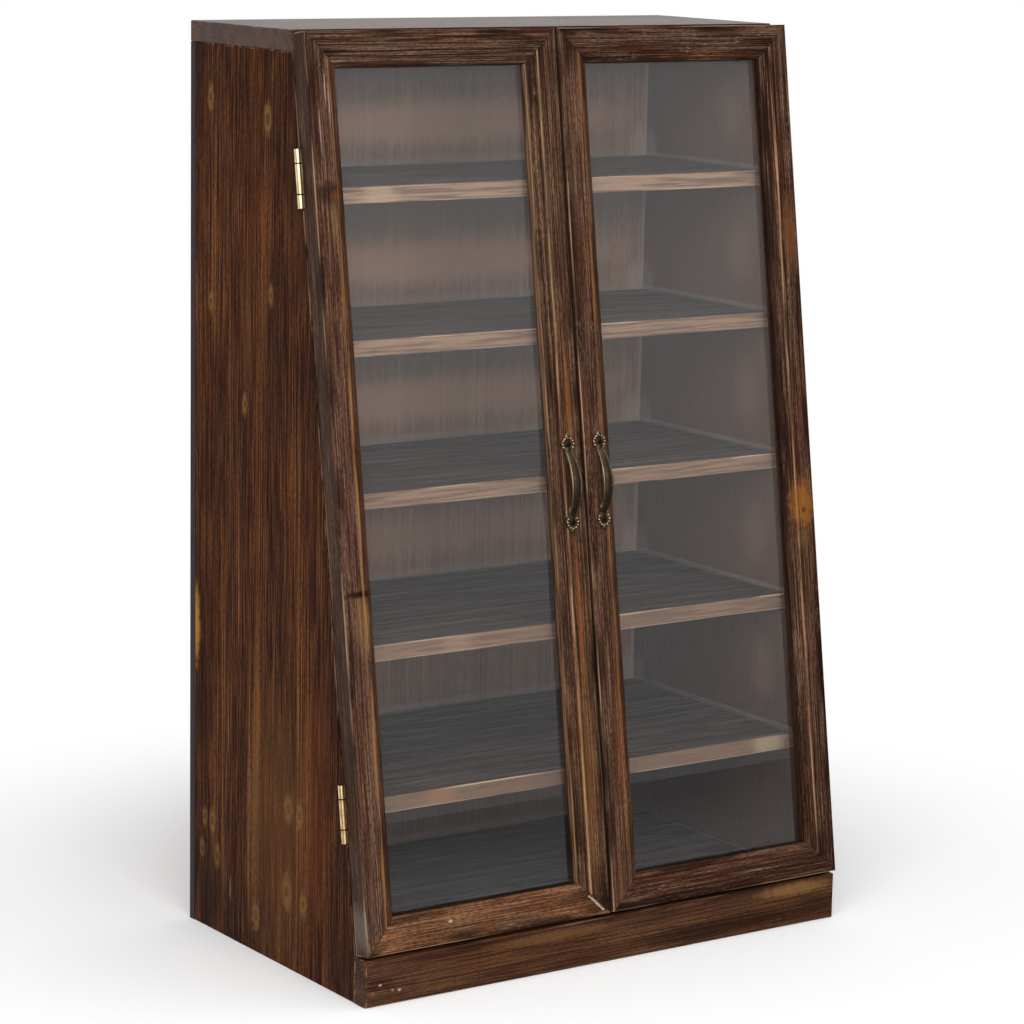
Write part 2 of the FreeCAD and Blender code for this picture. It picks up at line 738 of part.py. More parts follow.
def make_door(side, sign, hinge_holes):
    name = f"{side}_door"
    low, high = span(sign, "door_edge", "half_width")
    keep(name + "_corner_dowels", corner_dowels(name + "_dowels", sign))
    keep(name + "_bead_brads", bead_brads(name + "_brads", sign))
    keep(name + "_handle_screws", handle_screws(name + "_screws", sign))
    dowel_holes = corner_dowels(name + "_dowel_holes", sign, "peg_clearance")
    brad_holes = bead_brads(name + "_brad_holes", sign, "screw_clearance")
    screw_holes = handle_screws(name + "_screw_holes", sign, "screw_clearance")
    make_stile(name + "_hinge_stile", signed(sign, "half_width"), -sign, [dowel_holes, brad_holes, hinge_holes])
    make_stile(name + "_meeting_stile", signed(sign, "door_edge"), sign, [dowel_holes, brad_holes, screw_holes])
    make_rail(name + "_bottom_rail", "door_foot", 1, low, high, [dowel_holes, brad_holes])
    make_rail(name + "_top_rail", "door_head", -1, low, high, [dowel_holes, brad_holes])
    make_glass(name + "_glass", sign)
    make_beads(name + "_glazing_beads", sign, brad_holes)
    make_handle(name + "_handle", sign, screw_holes)


def make_cabinet():
    holes = make_carcass_fasteners()
    make_top_panel(holes["top"])
    make_back_panel(holes["nails"])
    make_bottom_panel(holes["nails"])
    make_plinth(holes["plinth"])
    make_shelves()
    for side, sign in SIDES.items():
        hinge_holes = make_hinges(side, sign)
        make_side_panel(side, sign, [holes["top"], holes["plinth"], holes["nails"], hinge_holes["side"]])
        make_door(side, sign, hinge_holes["door"])


def check_and_write():
    """Refuse to write anything unless every object is sound, then write one file for each sub-part."""
    doc.recompute()
    for item in doc.Objects:
        if "Invalid" in item.State or "Error" in item.State:
            raise RuntimeError(f"{item.Label} did not build: {item.State}")
    for name, piece in nodes.items():
        if piece.Shape.isNull() or not piece.Shape.isValid() or not piece.Shape.Solids:
            raise RuntimeError(f"{name} has no sound shape")
    os.makedirs("parts", exist_ok=True)
    for name, piece in nodes.items():
        piece.Shape.exportStep(f"parts/{name}.step")
        print(f"{name}: {len(piece.Shape.Solids)} solid(s), {piece.Shape.Volume / 1000:.2f} cm3")


make_cabinet()
check_and_write()
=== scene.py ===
# %% [markdown]
# # A display cabinet in brushed, dark-stained fir
# The cabinet is a small wooden case with five shelves behind two glazed doors. Its front leans back, so that every
# shelf is a little shallower than the one below. The boards, doors and hinges are already modelled to size; this
# lesson gives them their finishes, models the cast brass pulls and lights the case as in a plain studio.

# %% Load the case
import json
import math

import bmesh
import bpy
from mathutils import Matrix, Vector


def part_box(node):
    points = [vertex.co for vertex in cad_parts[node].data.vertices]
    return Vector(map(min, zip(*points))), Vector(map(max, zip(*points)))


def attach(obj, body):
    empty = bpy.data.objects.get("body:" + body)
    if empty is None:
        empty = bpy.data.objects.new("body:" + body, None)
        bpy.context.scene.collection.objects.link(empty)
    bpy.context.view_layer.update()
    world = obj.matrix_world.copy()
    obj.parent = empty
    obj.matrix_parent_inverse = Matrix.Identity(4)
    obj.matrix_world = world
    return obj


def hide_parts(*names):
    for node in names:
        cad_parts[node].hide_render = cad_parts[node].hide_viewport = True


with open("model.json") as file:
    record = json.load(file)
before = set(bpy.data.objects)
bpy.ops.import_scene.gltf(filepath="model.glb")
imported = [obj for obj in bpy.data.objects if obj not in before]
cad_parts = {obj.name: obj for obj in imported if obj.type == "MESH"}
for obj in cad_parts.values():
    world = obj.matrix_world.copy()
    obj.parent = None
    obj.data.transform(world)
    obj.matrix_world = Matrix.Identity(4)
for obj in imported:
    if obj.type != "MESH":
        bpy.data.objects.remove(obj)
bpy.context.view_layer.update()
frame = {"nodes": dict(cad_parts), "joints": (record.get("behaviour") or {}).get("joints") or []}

MM = 0.001
bpy.ops.object.select_all(action="DESELECT")

# %% [markdown]
# ## The leaning front
# The doors hang on a line that leans back with the front. That line is the right door's hinge axis, so the direction
# "up the front" can be measured instead of typed. With "right" it gives a third direction, into the case, and the
# three together turn anything that is drawn upright into the plane of the doors.

# %% Measure the slope
RIGHT, BACKWARD, UP = Vector((1, 0, 0)), Vector((0, 1, 0)), Vector((0, 0, 1))
right_hinge = next(joint for joint in frame["joints"] if joint["name"] == "right_door_hinge")
UPHILL = Vector(right_hinge["axis"]).normalized()
INWARD = UPHILL.cross(RIGHT)
print("the front leans back", round(math.degrees(math.atan2(UPHILL.y, UPHILL.z)), 2), "degrees")

# %% [markdown]
# ## Camera
# The photograph was taken from the left of the case and a little above its middle, from about three metres away with
# a long lens. A long lens keeps the upright edges nearly parallel, so a wider lens closer by would look wrong here.

# %% Place the camera
CAMERA_PLACE = Vector((-1.7124, -2.4810, 0.9343))
CAMERA_YAW, CAMERA_PITCH, CAMERA_ROLL = math.radians(34.46), math.radians(10.55), math.radians(1.06)
scene = bpy.context.scene
bpy.ops.object.camera_add()
camera = bpy.context.object
camera.name = "camera"
camera.data.lens, camera.data.sensor_width = 121.82, 36
camera.matrix_world = (
    Matrix.Translation(CAMERA_PLACE)
    @ Matrix.Rotation(-CAMERA_YAW, 4, "Z")
    @ Matrix.Rotation(math.pi / 2 - CAMERA_PITCH, 4, "X")
    @ Matrix.Rotation(CAMERA_ROLL, 4, "Z")
)
scene.camera = camera
scene.view_settings.view_transform = "Standard"
print("camera", round(CAMERA_PLACE.length, 2), "m from the case's foot")

# %% [markdown]
# ## Colours and nodes
# Colours are easiest to judge as the hex values that a picture editor shows. Shaders work in linear light, so one
# function turns the first into the second. A second function adds a node, sets its properties and fills its sockets
# with a value or a link, which keeps every node tree below readable.

# %% Helpers for materials
def linear(hex_colour):
    """The linear RGBA of an sRGB hex colour."""
    channels = [int(hex_colour[i : i + 2], 16) / 255 for i in (1, 3, 5)]
    return [c / 12.92 if c <= 0.04045 else ((c + 0.055) / 1.055) ** 2.4 for c in channels] + [1.0]


def add_node(tree, kind, sockets=None, **settings):
    """Adds a node. Settings are its properties; sockets are its inputs, as values or as links."""
    node = tree.nodes.new(kind)
    for name, value in settings.items():
        setattr(node, name, value)
    for key, value in (sockets or {}).items():
        if isinstance(value, bpy.types.NodeSocket):
            tree.links.new(value, node.inputs[key])
        else:
            node.inputs[key].default_value = value
    return node


def empty_material(name):
    """A new material with an empty node tree, and that tree."""
    material = bpy.data.materials.new(name)
    material.use_nodes = True
    material.node_tree.nodes.clear()
    return material, material.node_tree


print("mid stain in linear light:", [round(c, 3) for c in linear("#47291c")])

# %% [markdown]
# ## Studio light
# The picture has a white surround. A white world that only the eye sees, directly and through glass, gives that
# without flooding the case. What the glass and the polish mirror is another matter: the room before the case is dim,
# so the panes stay clear, and the wall behind it is bright, which is the pale sheen on the top. A lower even light
# fills the shadows, and large soft lamps at the front left do the rest.

# %% World and lamps
FILL_LIGHT, MIRROR_BEFORE, MIRROR_BEHIND = 0.5, 0.08, 1.0
HORIZON = 0.2  # half of the soft step between before and behind
world = bpy.data.worlds.new("white_studio")
scene.world = world
world.use_nodes = True
sky = world.node_tree
sky.nodes.clear()
way = add_node(sky, "ShaderNodeSeparateXYZ", {0: add_node(sky, "ShaderNodeTexCoord").outputs["Generated"]})
mirrored = add_node(
    sky, "ShaderNodeMapRange", {0: way.outputs["Y"], 1: -HORIZON, 2: HORIZON, 3: MIRROR_BEFORE, 4: MIRROR_BEHIND}
)
ray = add_node(sky, "ShaderNodeLightPath")
direct = add_node(
    sky,
    "ShaderNodeMath",
    {0: ray.outputs["Is Camera Ray"], 1: ray.outputs["Is Transmission Ray"]},
    operation="MAXIMUM",
)
unseen = add_node(sky, "ShaderNodeMix", {0: ray.outputs["Is Glossy Ray"], 2: FILL_LIGHT, 3: mirrored.outputs[0]})
strength = add_node(sky, "ShaderNodeMix", {0: direct.outputs[0], 2: unseen.outputs[0], 3: 1.0})
background = add_node(sky, "ShaderNodeBackground", {"Color": linear("#ffffff"), "Strength": strength.outputs[0]})
add_node(sky, "ShaderNodeOutputWorld", {"Surface": background.outputs[0]})

CASE_MIDDLE = Vector((0, 0, 0.4))
LAMPS = {  # name: place in metres, watts, size in metres
    "key": ((-2.4, -2.2, 2.2), 56, 2.2),
    "front": ((-0.9, -3.1, 1.5), 75, 2.6),
    "top": ((0.3, -0.6, 2.8), 16, 2.0),
}
for name, (place, watts, size) in LAMPS.items():
    aim = (CASE_MIDDLE - Vector(place)).to_track_quat("-Z", "Y").to_euler()
    bpy.ops.object.light_add(type="AREA", location=place, rotation=aim)
    lamp = bpy.context.object
    lamp.name = name + "_lamp"
    lamp.data.energy, lamp.data.size = watts, size
    print(lamp.name, watts, "W,", size, "m wide")

# %% [markdown]
# ## Floor
# The floor only has to hold the case's shadow. Near the case it is an ordinary pale surface; farther out it fades
# into plain white, so that no edge or horizon shows behind the case.

# %% Lay the floor
FLOOR_SIZE, SHADOW_END, WHITE_START = 12, 0.35, 0.8  # metres
bpy.ops.mesh.primitive_plane_add(size=FLOOR_SIZE)
floor = bpy.context.object
floor.name = "studio_floor"
floor.visible_glossy = False
paper, tree = empty_material("white_paper")
reach = add_node(
    tree, "ShaderNodeVectorMath", {0: add_node(tree, "ShaderNodeTexCoord").outputs["Object"]}, operation="LENGTH"
)
far = add_node(
    tree,
    "ShaderNodeMapRange",
    {0: reach.outputs["Value"], 1: SHADOW_END, 2: WHITE_START},
    interpolation_type="SMOOTHSTEP",
)
seen_far = add_node(
    tree,
    "ShaderNodeMath",
    {0: far.outputs[0], 1: add_node(tree, "ShaderNodeLightPath").outputs["Is Camera Ray"]},
    operation="MULTIPLY",
)
matte = add_node(tree, "ShaderNodeBsdfDiffuse", {"Color": linear("#fcfcfc")})
glow = add_node(tree, "ShaderNodeEmission", {"Color": linear("#ffffff"), "Strength": 1.0})
mixed = add_node(tree, "ShaderNodeMixShader", {0: seen_far.outputs[0], 1: matte.outputs[0], 2: glow.outputs[0]})
add_node(tree, "ShaderNodeOutputMaterial", {"Surface": mixed.outputs[0]})
floor.data.materials.append(paper)
print("floor", floor.dimensions.x, "m wide")

# %% [markdown]
# ## A board's own directions
# Wood looks like wood because everything on it runs with the grain: rings, fibres, streaks and scratches. So each
# board gets three directions of its own, along the grain, across the face and through the thickness, with its middle
# as the zero point. All patterns below are then written in millimetres on that board.

# %% Measure a board
def measure_board(node, grain, across):
    """A board's directions, its middle and its half sizes in millimetres."""
    turn = Matrix((grain, across, grain.cross(across))).transposed()
    points = [turn.transposed() @ vertex.co for vertex in frame["nodes"][node].data.vertices]
    low = Vector([min(values) for values in zip(*points)])
    high = Vector([max(values) for values in zip(*points)])
    return {"turn": turn, "middle": turn @ ((low + high) / 2), "half": (high - low) / (2 * MM)}


def turned_place(tree, middle, turn):
    """Coordinates in millimetres from a middle, along the columns of a turn."""
    return add_node(
        tree,
        "ShaderNodeMapping",
        {
            "Vector": add_node(tree, "ShaderNodeTexCoord").outputs["Object"],
            "Location": middle,
            "Rotation": turn.to_euler(),
            "Scale": (MM, MM, MM),
        },
        vector_type="TEXTURE",
    ).outputs[0]


side_board = measure_board("left_side_panel", UP, BACKWARD)
print("left side, half sizes:", [round(size, 1) for size in side_board["half"]])

# %% [markdown]
# ## Long streaks
# A noise that is squeezed across the grain and stretched along it gives streaks. Very long and narrow ones are the
# fibres that a wire brush lays bare. Longer, wider ones are the bands where the stain took more or less. Fibres on
# the real boards are thinner than a pixel; here they are drawn about a millimetre wide so that they can be seen.

# %% Streaks along the grain
FIBRE_LENGTH, FIBRE_WIDTH = 100, 1.0  # millimetres


def streaks(tree, local, length, width, start, end, strength, shift):
    """A mask of streaks that long and wide in millimetres; noise below start gives none, above end all."""
    stretched = add_node(
        tree,
        "ShaderNodeMapping",
        {"Vector": local, "Location": (shift, shift, 0), "Scale": (1 / length, 1 / width, 1 / width)},
    )
    noise = add_node(tree, "ShaderNodeTexNoise", {"Vector": stretched.outputs[0], "Scale": 1.0, "Detail": 2.0})
    return add_node(
        tree,
        "ShaderNodeMapRange",
        {0: noise.outputs[0], 1: start, 2: end, 3: 0.0, 4: strength},
        interpolation_type="SMOOTHSTEP",
    ).outputs[0]


print("fibres are drawn", FIBRE_LENGTH, "mm long and", FIBRE_WIDTH, "mm wide")

# %% [markdown]
# ## Spots
# A knot, a patch of old filler or a worn place is an oval spot with a ragged edge. Its distance is measured in
# units of its own half sizes, and a little noise is added so that no spot is a clean ellipse. A spot goes right
# through the board, as a knot does, unless a depth keeps it to one face.

# %% Oval spots
ENDLESS = 1e6  # millimetres, longer than any board
RAGGEDNESS, SPOT_OUTSIDE, SPOT_INSIDE = 0.9, 1.6, 0.75  # in half sizes of the spot


def spot(tree, local, noise, along, across, long_half, wide_half, strength, depth=0.0, deep_half=ENDLESS):
    """A mask of one oval spot at a place on the board, with its half sizes, all in millimetres."""
    away = add_node(tree, "ShaderNodeVectorMath", {0: local, 1: (along, across, depth)}, operation="SUBTRACT")
    scaled = add_node(
        tree,
        "ShaderNodeVectorMath",
        {0: away.outputs[0], 1: (1 / long_half, 1 / wide_half, 1 / deep_half)},
        operation="MULTIPLY",
    )
    distance = add_node(tree, "ShaderNodeVectorMath", {0: scaled.outputs[0]}, operation="LENGTH")
    ragged = add_node(
        tree, "ShaderNodeMath", {0: noise, 1: RAGGEDNESS, 2: distance.outputs["Value"]}, operation="MULTIPLY_ADD"
    )
    return add_node(
        tree,
        "ShaderNodeMapRange",
        {0: ragged.outputs[0], 1: SPOT_OUTSIDE, 2: SPOT_INSIDE, 3: 0.0, 4: strength},
        interpolation_type="SMOOTHSTEP",
    ).outputs[0]


print("a spot fades between", SPOT_INSIDE, "and", SPOT_OUTSIDE, "of its half size")

# %% [markdown]
# ## Growth rings
# Fir grows a wide pale band in spring and a narrow dark one in summer, wrapped round the pith of the trunk. The
# distance from a line through the trunk, cut into even steps, gives those bands in all three dimensions, so a face
# shows long lines and a board's end shows arches, as on a sawn board. Round a knot the bands bend to the knot.

# %% Rings round the pith
WANDER_LENGTH, WANDER_WIDTH = 700, 70  # millimetres over which the rings wander
TRUNK_LEAN = 0.006  # radians between the pith and the board, so that lines run out slowly
KNOT_SHAPE, BEND_START, BEND_END = (0.6, 1, 0), 3, 0.8  # rings bend between these radii of a knot
SUMMER_START, SUMMER_END = 0.3, 0.96  # parts of a ring's width


def ring_lines(tree, local, look):
    """A mask of the dark summer wood: none in spring wood, then rising to a sharp edge."""
    slow = add_node(
        tree,
        "ShaderNodeMapping",
        {"Vector": local, "Scale": (1 / WANDER_LENGTH, 1 / WANDER_WIDTH, 1 / WANDER_WIDTH)},
    )
    noise = add_node(tree, "ShaderNodeTexNoise", {"Vector": slow.outputs[0], "Scale": 1.0, "Detail": 2.0})
    wandering = add_node(
        tree,
        "ShaderNodeVectorMath",
        {0: noise.outputs["Color"], 1: (0, look["wander"], look["wander"]), 2: local},
        operation="MULTIPLY_ADD",
    )
    trunk = add_node(
        tree,
        "ShaderNodeMapping",
        {
            "Vector": wandering.outputs[0],
            "Location": (0, *look["pith"]),
            "Rotation": (0, 0, TRUNK_LEAN),
            "Scale": (ENDLESS, 1, 1),
        },
        vector_type="TEXTURE",
    )
    ring = add_node(tree, "ShaderNodeVectorMath", {0: trunk.outputs[0]}, operation="LENGTH").outputs["Value"]
    for along, across, radius in look["knots"]:
        away = add_node(tree, "ShaderNodeVectorMath", {0: local, 1: (along, across, 0)}, operation="SUBTRACT")
        flat = add_node(tree, "ShaderNodeVectorMath", {0: away.outputs[0], 1: KNOT_SHAPE}, operation="MULTIPLY")
        distance = add_node(tree, "ShaderNodeVectorMath", {0: flat.outputs[0]}, operation="LENGTH").outputs["Value"]
        near = add_node(
            tree,
            "ShaderNodeMapRange",
            {0: distance, 1: radius * BEND_START, 2: radius * BEND_END},
            interpolation_type="SMOOTHSTEP",
        )
        ring = add_node(tree, "ShaderNodeMix", {0: near.outputs[0], 2: ring, 3: distance}).outputs[0]
    steps = add_node(tree, "ShaderNodeMath", {0: ring, 1: look["ring_width"]}, operation="DIVIDE")
    part = add_node(tree, "ShaderNodeMath", {0: steps.outputs[0]}, operation="FRACT")
    return add_node(
        tree,
        "ShaderNodeMapRange",
        {0: part.outputs[0], 1: SUMMER_START, 2: SUMMER_END, 3: 0.0, 4: look["rings"]},
        interpolation_type="SMOOTHSTEP",
    ).outputs[0]


print(f"summer wood starts {SUMMER_START:.0%} into each ring")

# %% [markdown]
# ## Edges
# Hands and dusters rub the stain off the corners first. A point lies on a corner when it is close to two faces at
# once, so the second smallest of its three distances to the faces finds all twelve edges of a board. The side
# panels have a sloping front edge, for which the distance behind the front takes the place of the one to the box.

# %% Distance to the nearest edge
PLINTH_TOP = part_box("plinth_board")[1]
FRONT_EDGE = Vector((0, PLINTH_TOP.y, PLINTH_TOP.z))
FRONT_TURN = Matrix((RIGHT, INWARD, UPHILL)).transposed()


def edge_distances(tree, local, board, sloping):
    """Distances in millimetres to the nearest edge, to the nearer end and to the nearer long edge."""
    size = add_node(tree, "ShaderNodeVectorMath", {0: local}, operation="ABSOLUTE")
    inset = add_node(tree, "ShaderNodeVectorMath", {0: board["half"], 1: size.outputs[0]}, operation="SUBTRACT")
    end, rim, face = add_node(tree, "ShaderNodeSeparateXYZ", {0: inset.outputs[0]}).outputs
    if sloping:
        behind = add_node(tree, "ShaderNodeSeparateXYZ", {0: turned_place(tree, FRONT_EDGE, FRONT_TURN)}).outputs["Y"]
        rim = add_node(tree, "ShaderNodeMath", {0: rim, 1: behind}, operation="MINIMUM").outputs[0]
    lower = add_node(tree, "ShaderNodeMath", {0: end, 1: rim}, operation="MINIMUM").outputs[0]
    upper = add_node(tree, "ShaderNodeMath", {0: end, 1: rim}, operation="MAXIMUM").outputs[0]
    other = add_node(tree, "ShaderNodeMath", {0: upper, 1: face}, operation="MINIMUM").outputs[0]
    nearest = add_node(tree, "ShaderNodeMath", {0: lower, 1: other}, operation="MAXIMUM").outputs[0]
    return nearest, end, rim


print("the sloping front starts at", [round(value / MM, 1) for value in FRONT_EDGE], "mm")

# %% [markdown]
# ## Grain
# The stain is a ground colour with layers over it. Each layer is a mask and a colour: warm and dark blotches where the
# stain took more or less, long dark and pale lines, summer wood, short fibres and the grit that a brush leaves. Pale
# lines come and go in wide patches, because even lines from end to end look like printed paper. The usual look of a
# board is kept in one table, and each board changes only what is its own.

# %% Grain in layers
FIR = {
    "ground": "#3f2113", "pale": "#6c4828", "warm": "#592b12", "dark": "#27120a", "summer": "#27120a",
    "scuff": "#a88c70", "worn": "#a8896c", "halo": "#6f5330", "heart": "#170b06", "core": "#6e3b1c",
    "blotches": 0.45, "bands": 0.5, "rings": 0.4, "fibres": 0.5, "hairs": 0.35, "grit": 0.35, "scuffs": 0.12,
    "grime": 0.55, "wear": 0.5, "coarse": 1.0, "pith": (-240, 60), "ring_width": 4.2, "wander": 14, "knots": [],
    "spots": [], "lines": [], "rubs": [], "ragged": 1.0, "sloping": False, "sheen": 0.08, "gloss": (0.44, 0.64),
    "shift": 0.0,
}


def grain_layers(tree, local, look):
    """Masks and colours of the grain, and the relief of its fibres, rings and grit."""
    shift, coarse = look["shift"], look["coarse"]
    rings = ring_lines(tree, local, look)
    fibres = streaks(tree, local, FIBRE_LENGTH, FIBRE_WIDTH * coarse, 0.44, 0.58, look["fibres"], shift)
    grit = streaks(tree, local, 5, 1.3 * coarse, 0.46, 0.6, look["grit"], shift + 43)
    patches = streaks(tree, local, 300, 26 * coarse, 0.38, 0.6, 1.0, shift + 19)
    pale = streaks(tree, local, 420, 1.4 * coarse, 0.48, 0.62, look["bands"], shift + 3)
    layers = [
        (streaks(tree, local, 200, 40 * coarse, 0.48, 0.64, look["blotches"], shift + 7), look["warm"]),
        (streaks(tree, local, 150, 26 * coarse, 0.5, 0.66, look["blotches"], shift + 11), look["dark"]),
        (streaks(tree, local, 420, 1.8 * coarse, 0.47, 0.6, look["bands"], shift + 13), look["dark"]),
        (add_node(tree, "ShaderNodeMath", {0: pale, 1: patches}, operation="MULTIPLY").outputs[0], look["pale"]),
        (rings, look["summer"]),
        (fibres, look["dark"]),
        (streaks(tree, local, 70, 0.9 * coarse, 0.52, 0.64, look["hairs"], shift + 23), look["pale"]),
        (grit, look["dark"]),
    ]
    grooves = add_node(tree, "ShaderNodeMath", {0: fibres, 1: rings}, operation="ADD").outputs[0]
    relief = add_node(tree, "ShaderNodeMath", {0: grooves, 1: grit}, operation="ADD").outputs[0]
    return layers, relief


print("a board's usual look has", len(FIR), "settings")

# %% [markdown]
# ## Lines
# Dust in a corner, glue in a mitre, painted shade beside the glass and a moulding that is worn and carries a painted
# highlight are lines at a fixed distance from an end or an edge. Members of a door have an outer edge and an inner one,
# beside the glass. Glue and painted shade run on without a break; what is rubbed, painted as a highlight or gathers as
# dust comes and goes.

# %% Lines along edges
BREAK_LENGTH, BREAK_WIDTH = 60, 2.2  # millimetres, the size of the breaks in a rubbed line
LINE_CORE = 0.25  # the part of a line's reach that has its full strength


def line_layers(tree, local, board, end, rim, look):
    """Masks and colours of lines; each has a kind, a distance, a reach, a strength and a colour."""
    y = add_node(tree, "ShaderNodeSeparateXYZ", {0: local}).outputs["Y"]
    outer = add_node(tree, "ShaderNodeMath", {0: y, 1: board["half"].y}, operation="ADD").outputs[0]
    inner = add_node(tree, "ShaderNodeMath", {0: board["half"].y, 1: y}, operation="SUBTRACT").outputs[0]
    mitre = add_node(tree, "ShaderNodeMath", {0: end, 1: outer}, operation="SUBTRACT").outputs[0]
    distances = {"end": end, "rim": rim, "outer": outer, "inner": inner, "mitre": mitre}
    breaks = streaks(tree, local, BREAK_LENGTH, BREAK_WIDTH, 0.36, 0.62, 1.0, look["shift"] + 37)
    marks = [(line, False) for line in look["lines"]] + [(rub, True) for rub in look["rubs"]]
    layers = []
    for (kind, distance, reach, strength, colour), broken in marks:
        away = add_node(tree, "ShaderNodeMath", {0: distances[kind], 1: distance}, operation="SUBTRACT")
        away = add_node(tree, "ShaderNodeMath", {0: away.outputs[0]}, operation="ABSOLUTE")
        near = add_node(
            tree,
            "ShaderNodeMapRange",
            {0: away.outputs[0], 1: reach, 2: reach * LINE_CORE, 3: 0.0, 4: strength},
            interpolation_type="SMOOTHSTEP",
        ).outputs[0]
        if broken:
            near = add_node(tree, "ShaderNodeMath", {0: near, 1: breaks}, operation="MULTIPLY").outputs[0]
        layers.append((near, colour))
    return layers


print("rubbed lines break up about every", BREAK_LENGTH, "mm")

# %% [markdown]
# ## Wear
# Black grime settles beside the edges and towards the ends. Small pale flecks gather in tired patches. Knots, spots
# and lines come next, and the rubbed corners last of all, because whatever lay there was rubbed away with the stain.

# %% Wear in layers
GRIME_REACH, END_REACH, RUB_REACH = (12.0, 1.0), (70.0, 5.0), (1.3, 0.4)  # millimetres at which each starts and is full
BLOT_SIZE = 5  # millimetres
KNOT_LAYERS = (  # colour, half length and half width in radii, strength
    ("halo", 2.8, 1.3, 0.5), ("heart", 1.0, 0.65, 0.75), ("core", 0.45, 0.3, 0.8),
)


def fading(tree, distance, limits):
    """A mask that rises as a distance falls from the first limit to the second."""
    sockets = {0: distance, 1: limits[0], 2: limits[1]}
    return add_node(tree, "ShaderNodeMapRange", sockets, interpolation_type="SMOOTHSTEP").outputs[0]


def wear_layers(tree, local, board, look):
    """Masks and colours of grime, flecks, knots, spots, lines and rubbed edges."""
    shift, coarse = look["shift"], look["coarse"]
    nearest, end, rim = edge_distances(tree, local, board, look["sloping"])
    beside, towards = fading(tree, nearest, GRIME_REACH), fading(tree, end, END_REACH)
    border = add_node(tree, "ShaderNodeMath", {0: beside, 1: towards}, operation="MAXIMUM")
    dirt = streaks(tree, local, 60, 14 * coarse, 0.42, 0.62, look["grime"], shift + 31)
    grime = add_node(tree, "ShaderNodeMath", {0: border.outputs[0], 1: dirt}, operation="MULTIPLY").outputs[0]
    tired = streaks(tree, local, 80, 20 * coarse, 0.52, 0.66, look["scuffs"], shift + 29)
    flecks = streaks(tree, local, 6, 0.8 * coarse, 0.56, 0.66, 1.0, shift + 41)
    scuffs = add_node(tree, "ShaderNodeMath", {0: flecks, 1: tired}, operation="MULTIPLY").outputs[0]
    layers = [(grime, look["heart"]), (scuffs, look["scuff"])]
    blots = add_node(tree, "ShaderNodeTexNoise", {"Vector": local, "Scale": 1 / BLOT_SIZE, "Detail": 4.0}).outputs[0]
    ragged = look["ragged"] / 2
    noise = add_node(tree, "ShaderNodeMapRange", {0: blots, 3: 0.5 - ragged, 4: 0.5 + ragged}).outputs[0]
    for along, across, radius in look["knots"]:
        for part, length, width, strength in KNOT_LAYERS:
            mask = spot(tree, local, noise, along, across, radius * length, radius * width, strength)
            layers.append((mask, look[part]))
    for colour, *place in look["spots"]:
        layers.append((spot(tree, local, noise, *place), colour))
    layers += line_layers(tree, local, board, end, rim, look)
    rub = streaks(tree, local, 110, 8, 0.46, 0.62, look["wear"], shift + 17)
    corner = fading(tree, nearest, RUB_REACH)
    rubbed = add_node(tree, "ShaderNodeMath", {0: corner, 1: rub}, operation="MULTIPLY").outputs[0]
    return [*layers, (rubbed, look["worn"])]


print("grime reaches", GRIME_REACH[0], "mm from an edge, rubbing", RUB_REACH[0], "mm")

# %% [markdown]
# ## The stained finish
# One loop lays the layers over the ground. The fibres, rings and grit also drive the roughness and a shallow relief,
# because a wire brush takes more from the soft spring wood.

# %% Finish a board
RELIEF_STRENGTH, RELIEF_DEPTH = 0.35, 0.4  # the depth in millimetres


def finish_board(node, grain, across, **changes):
    """Gives a board the stained finish, with changes to the usual look."""
    look = {**FIR, **changes}
    board = measure_board(node, grain, across)
    material, tree = empty_material("stained_fir_" + node)
    local = turned_place(tree, board["middle"], board["turn"])
    layers, relief = grain_layers(tree, local, look)
    colour = linear(look["ground"])
    for mask, tint in layers + wear_layers(tree, local, board, look):
        colour = add_node(tree, "ShaderNodeMix", {0: mask, 6: colour, 7: linear(tint)}, data_type="RGBA").outputs[2]
    bump = add_node(
        tree, "ShaderNodeBump", {"Strength": RELIEF_STRENGTH, "Distance": RELIEF_DEPTH * MM, "Height": relief}
    )
    rough = add_node(tree, "ShaderNodeMapRange", {0: relief, 3: look["gloss"][0], 4: look["gloss"][1]})
    wood = add_node(
        tree,
        "ShaderNodeBsdfPrincipled",
        {
            "Base Color": colour,
            "Roughness": rough.outputs[0],
            "Specular IOR Level": look["sheen"],
            "Normal": bump.outputs[0],
        },
    )
    add_node(tree, "ShaderNodeOutputMaterial", {"Surface": wood.outputs[0]})
    frame["nodes"][node].material_slots[0].material = material


print("the brushed relief is", RELIEF_DEPTH, "mm deep")

# %% [markdown]
# ## Carcass
# The sides are straight-grained boards with small pale knots and a golden split at the rear edge, which has a painted
# shadow beside it. Their inner faces, seen through the glass, are dull and dusty, with a pale pool of painted light
# above each shelf and painted shade low down, so each stain is kept to one face. The top shows the same stain under a
# grey sheen, because it is seen almost along its face and mirrors the bright studio behind it. The plinth's upper
# edge is rubbed to bare wood at the right.

# %% Levels of the shelves
SIDE_MIDDLE, SIDE_FACE = side_board["middle"].z / MM, round(side_board["half"].z, 1)


def top_of(node):
    """The level of a shelf's upper face, in millimetres from the middle of the sides."""
    shelf = measure_board(node, RIGHT, BACKWARD)
    return round(shelf["middle"].z / MM + shelf["half"].z - SIDE_MIDDLE, 1)


SHELF_TOPS = [top_of(f"shelf_{i}") for i in range(1, 6)]
FLOORS = [top_of("bottom_panel"), *SHELF_TOPS]
print("floors, from the middle of the sides:", FLOORS, "and faces at", SIDE_FACE)

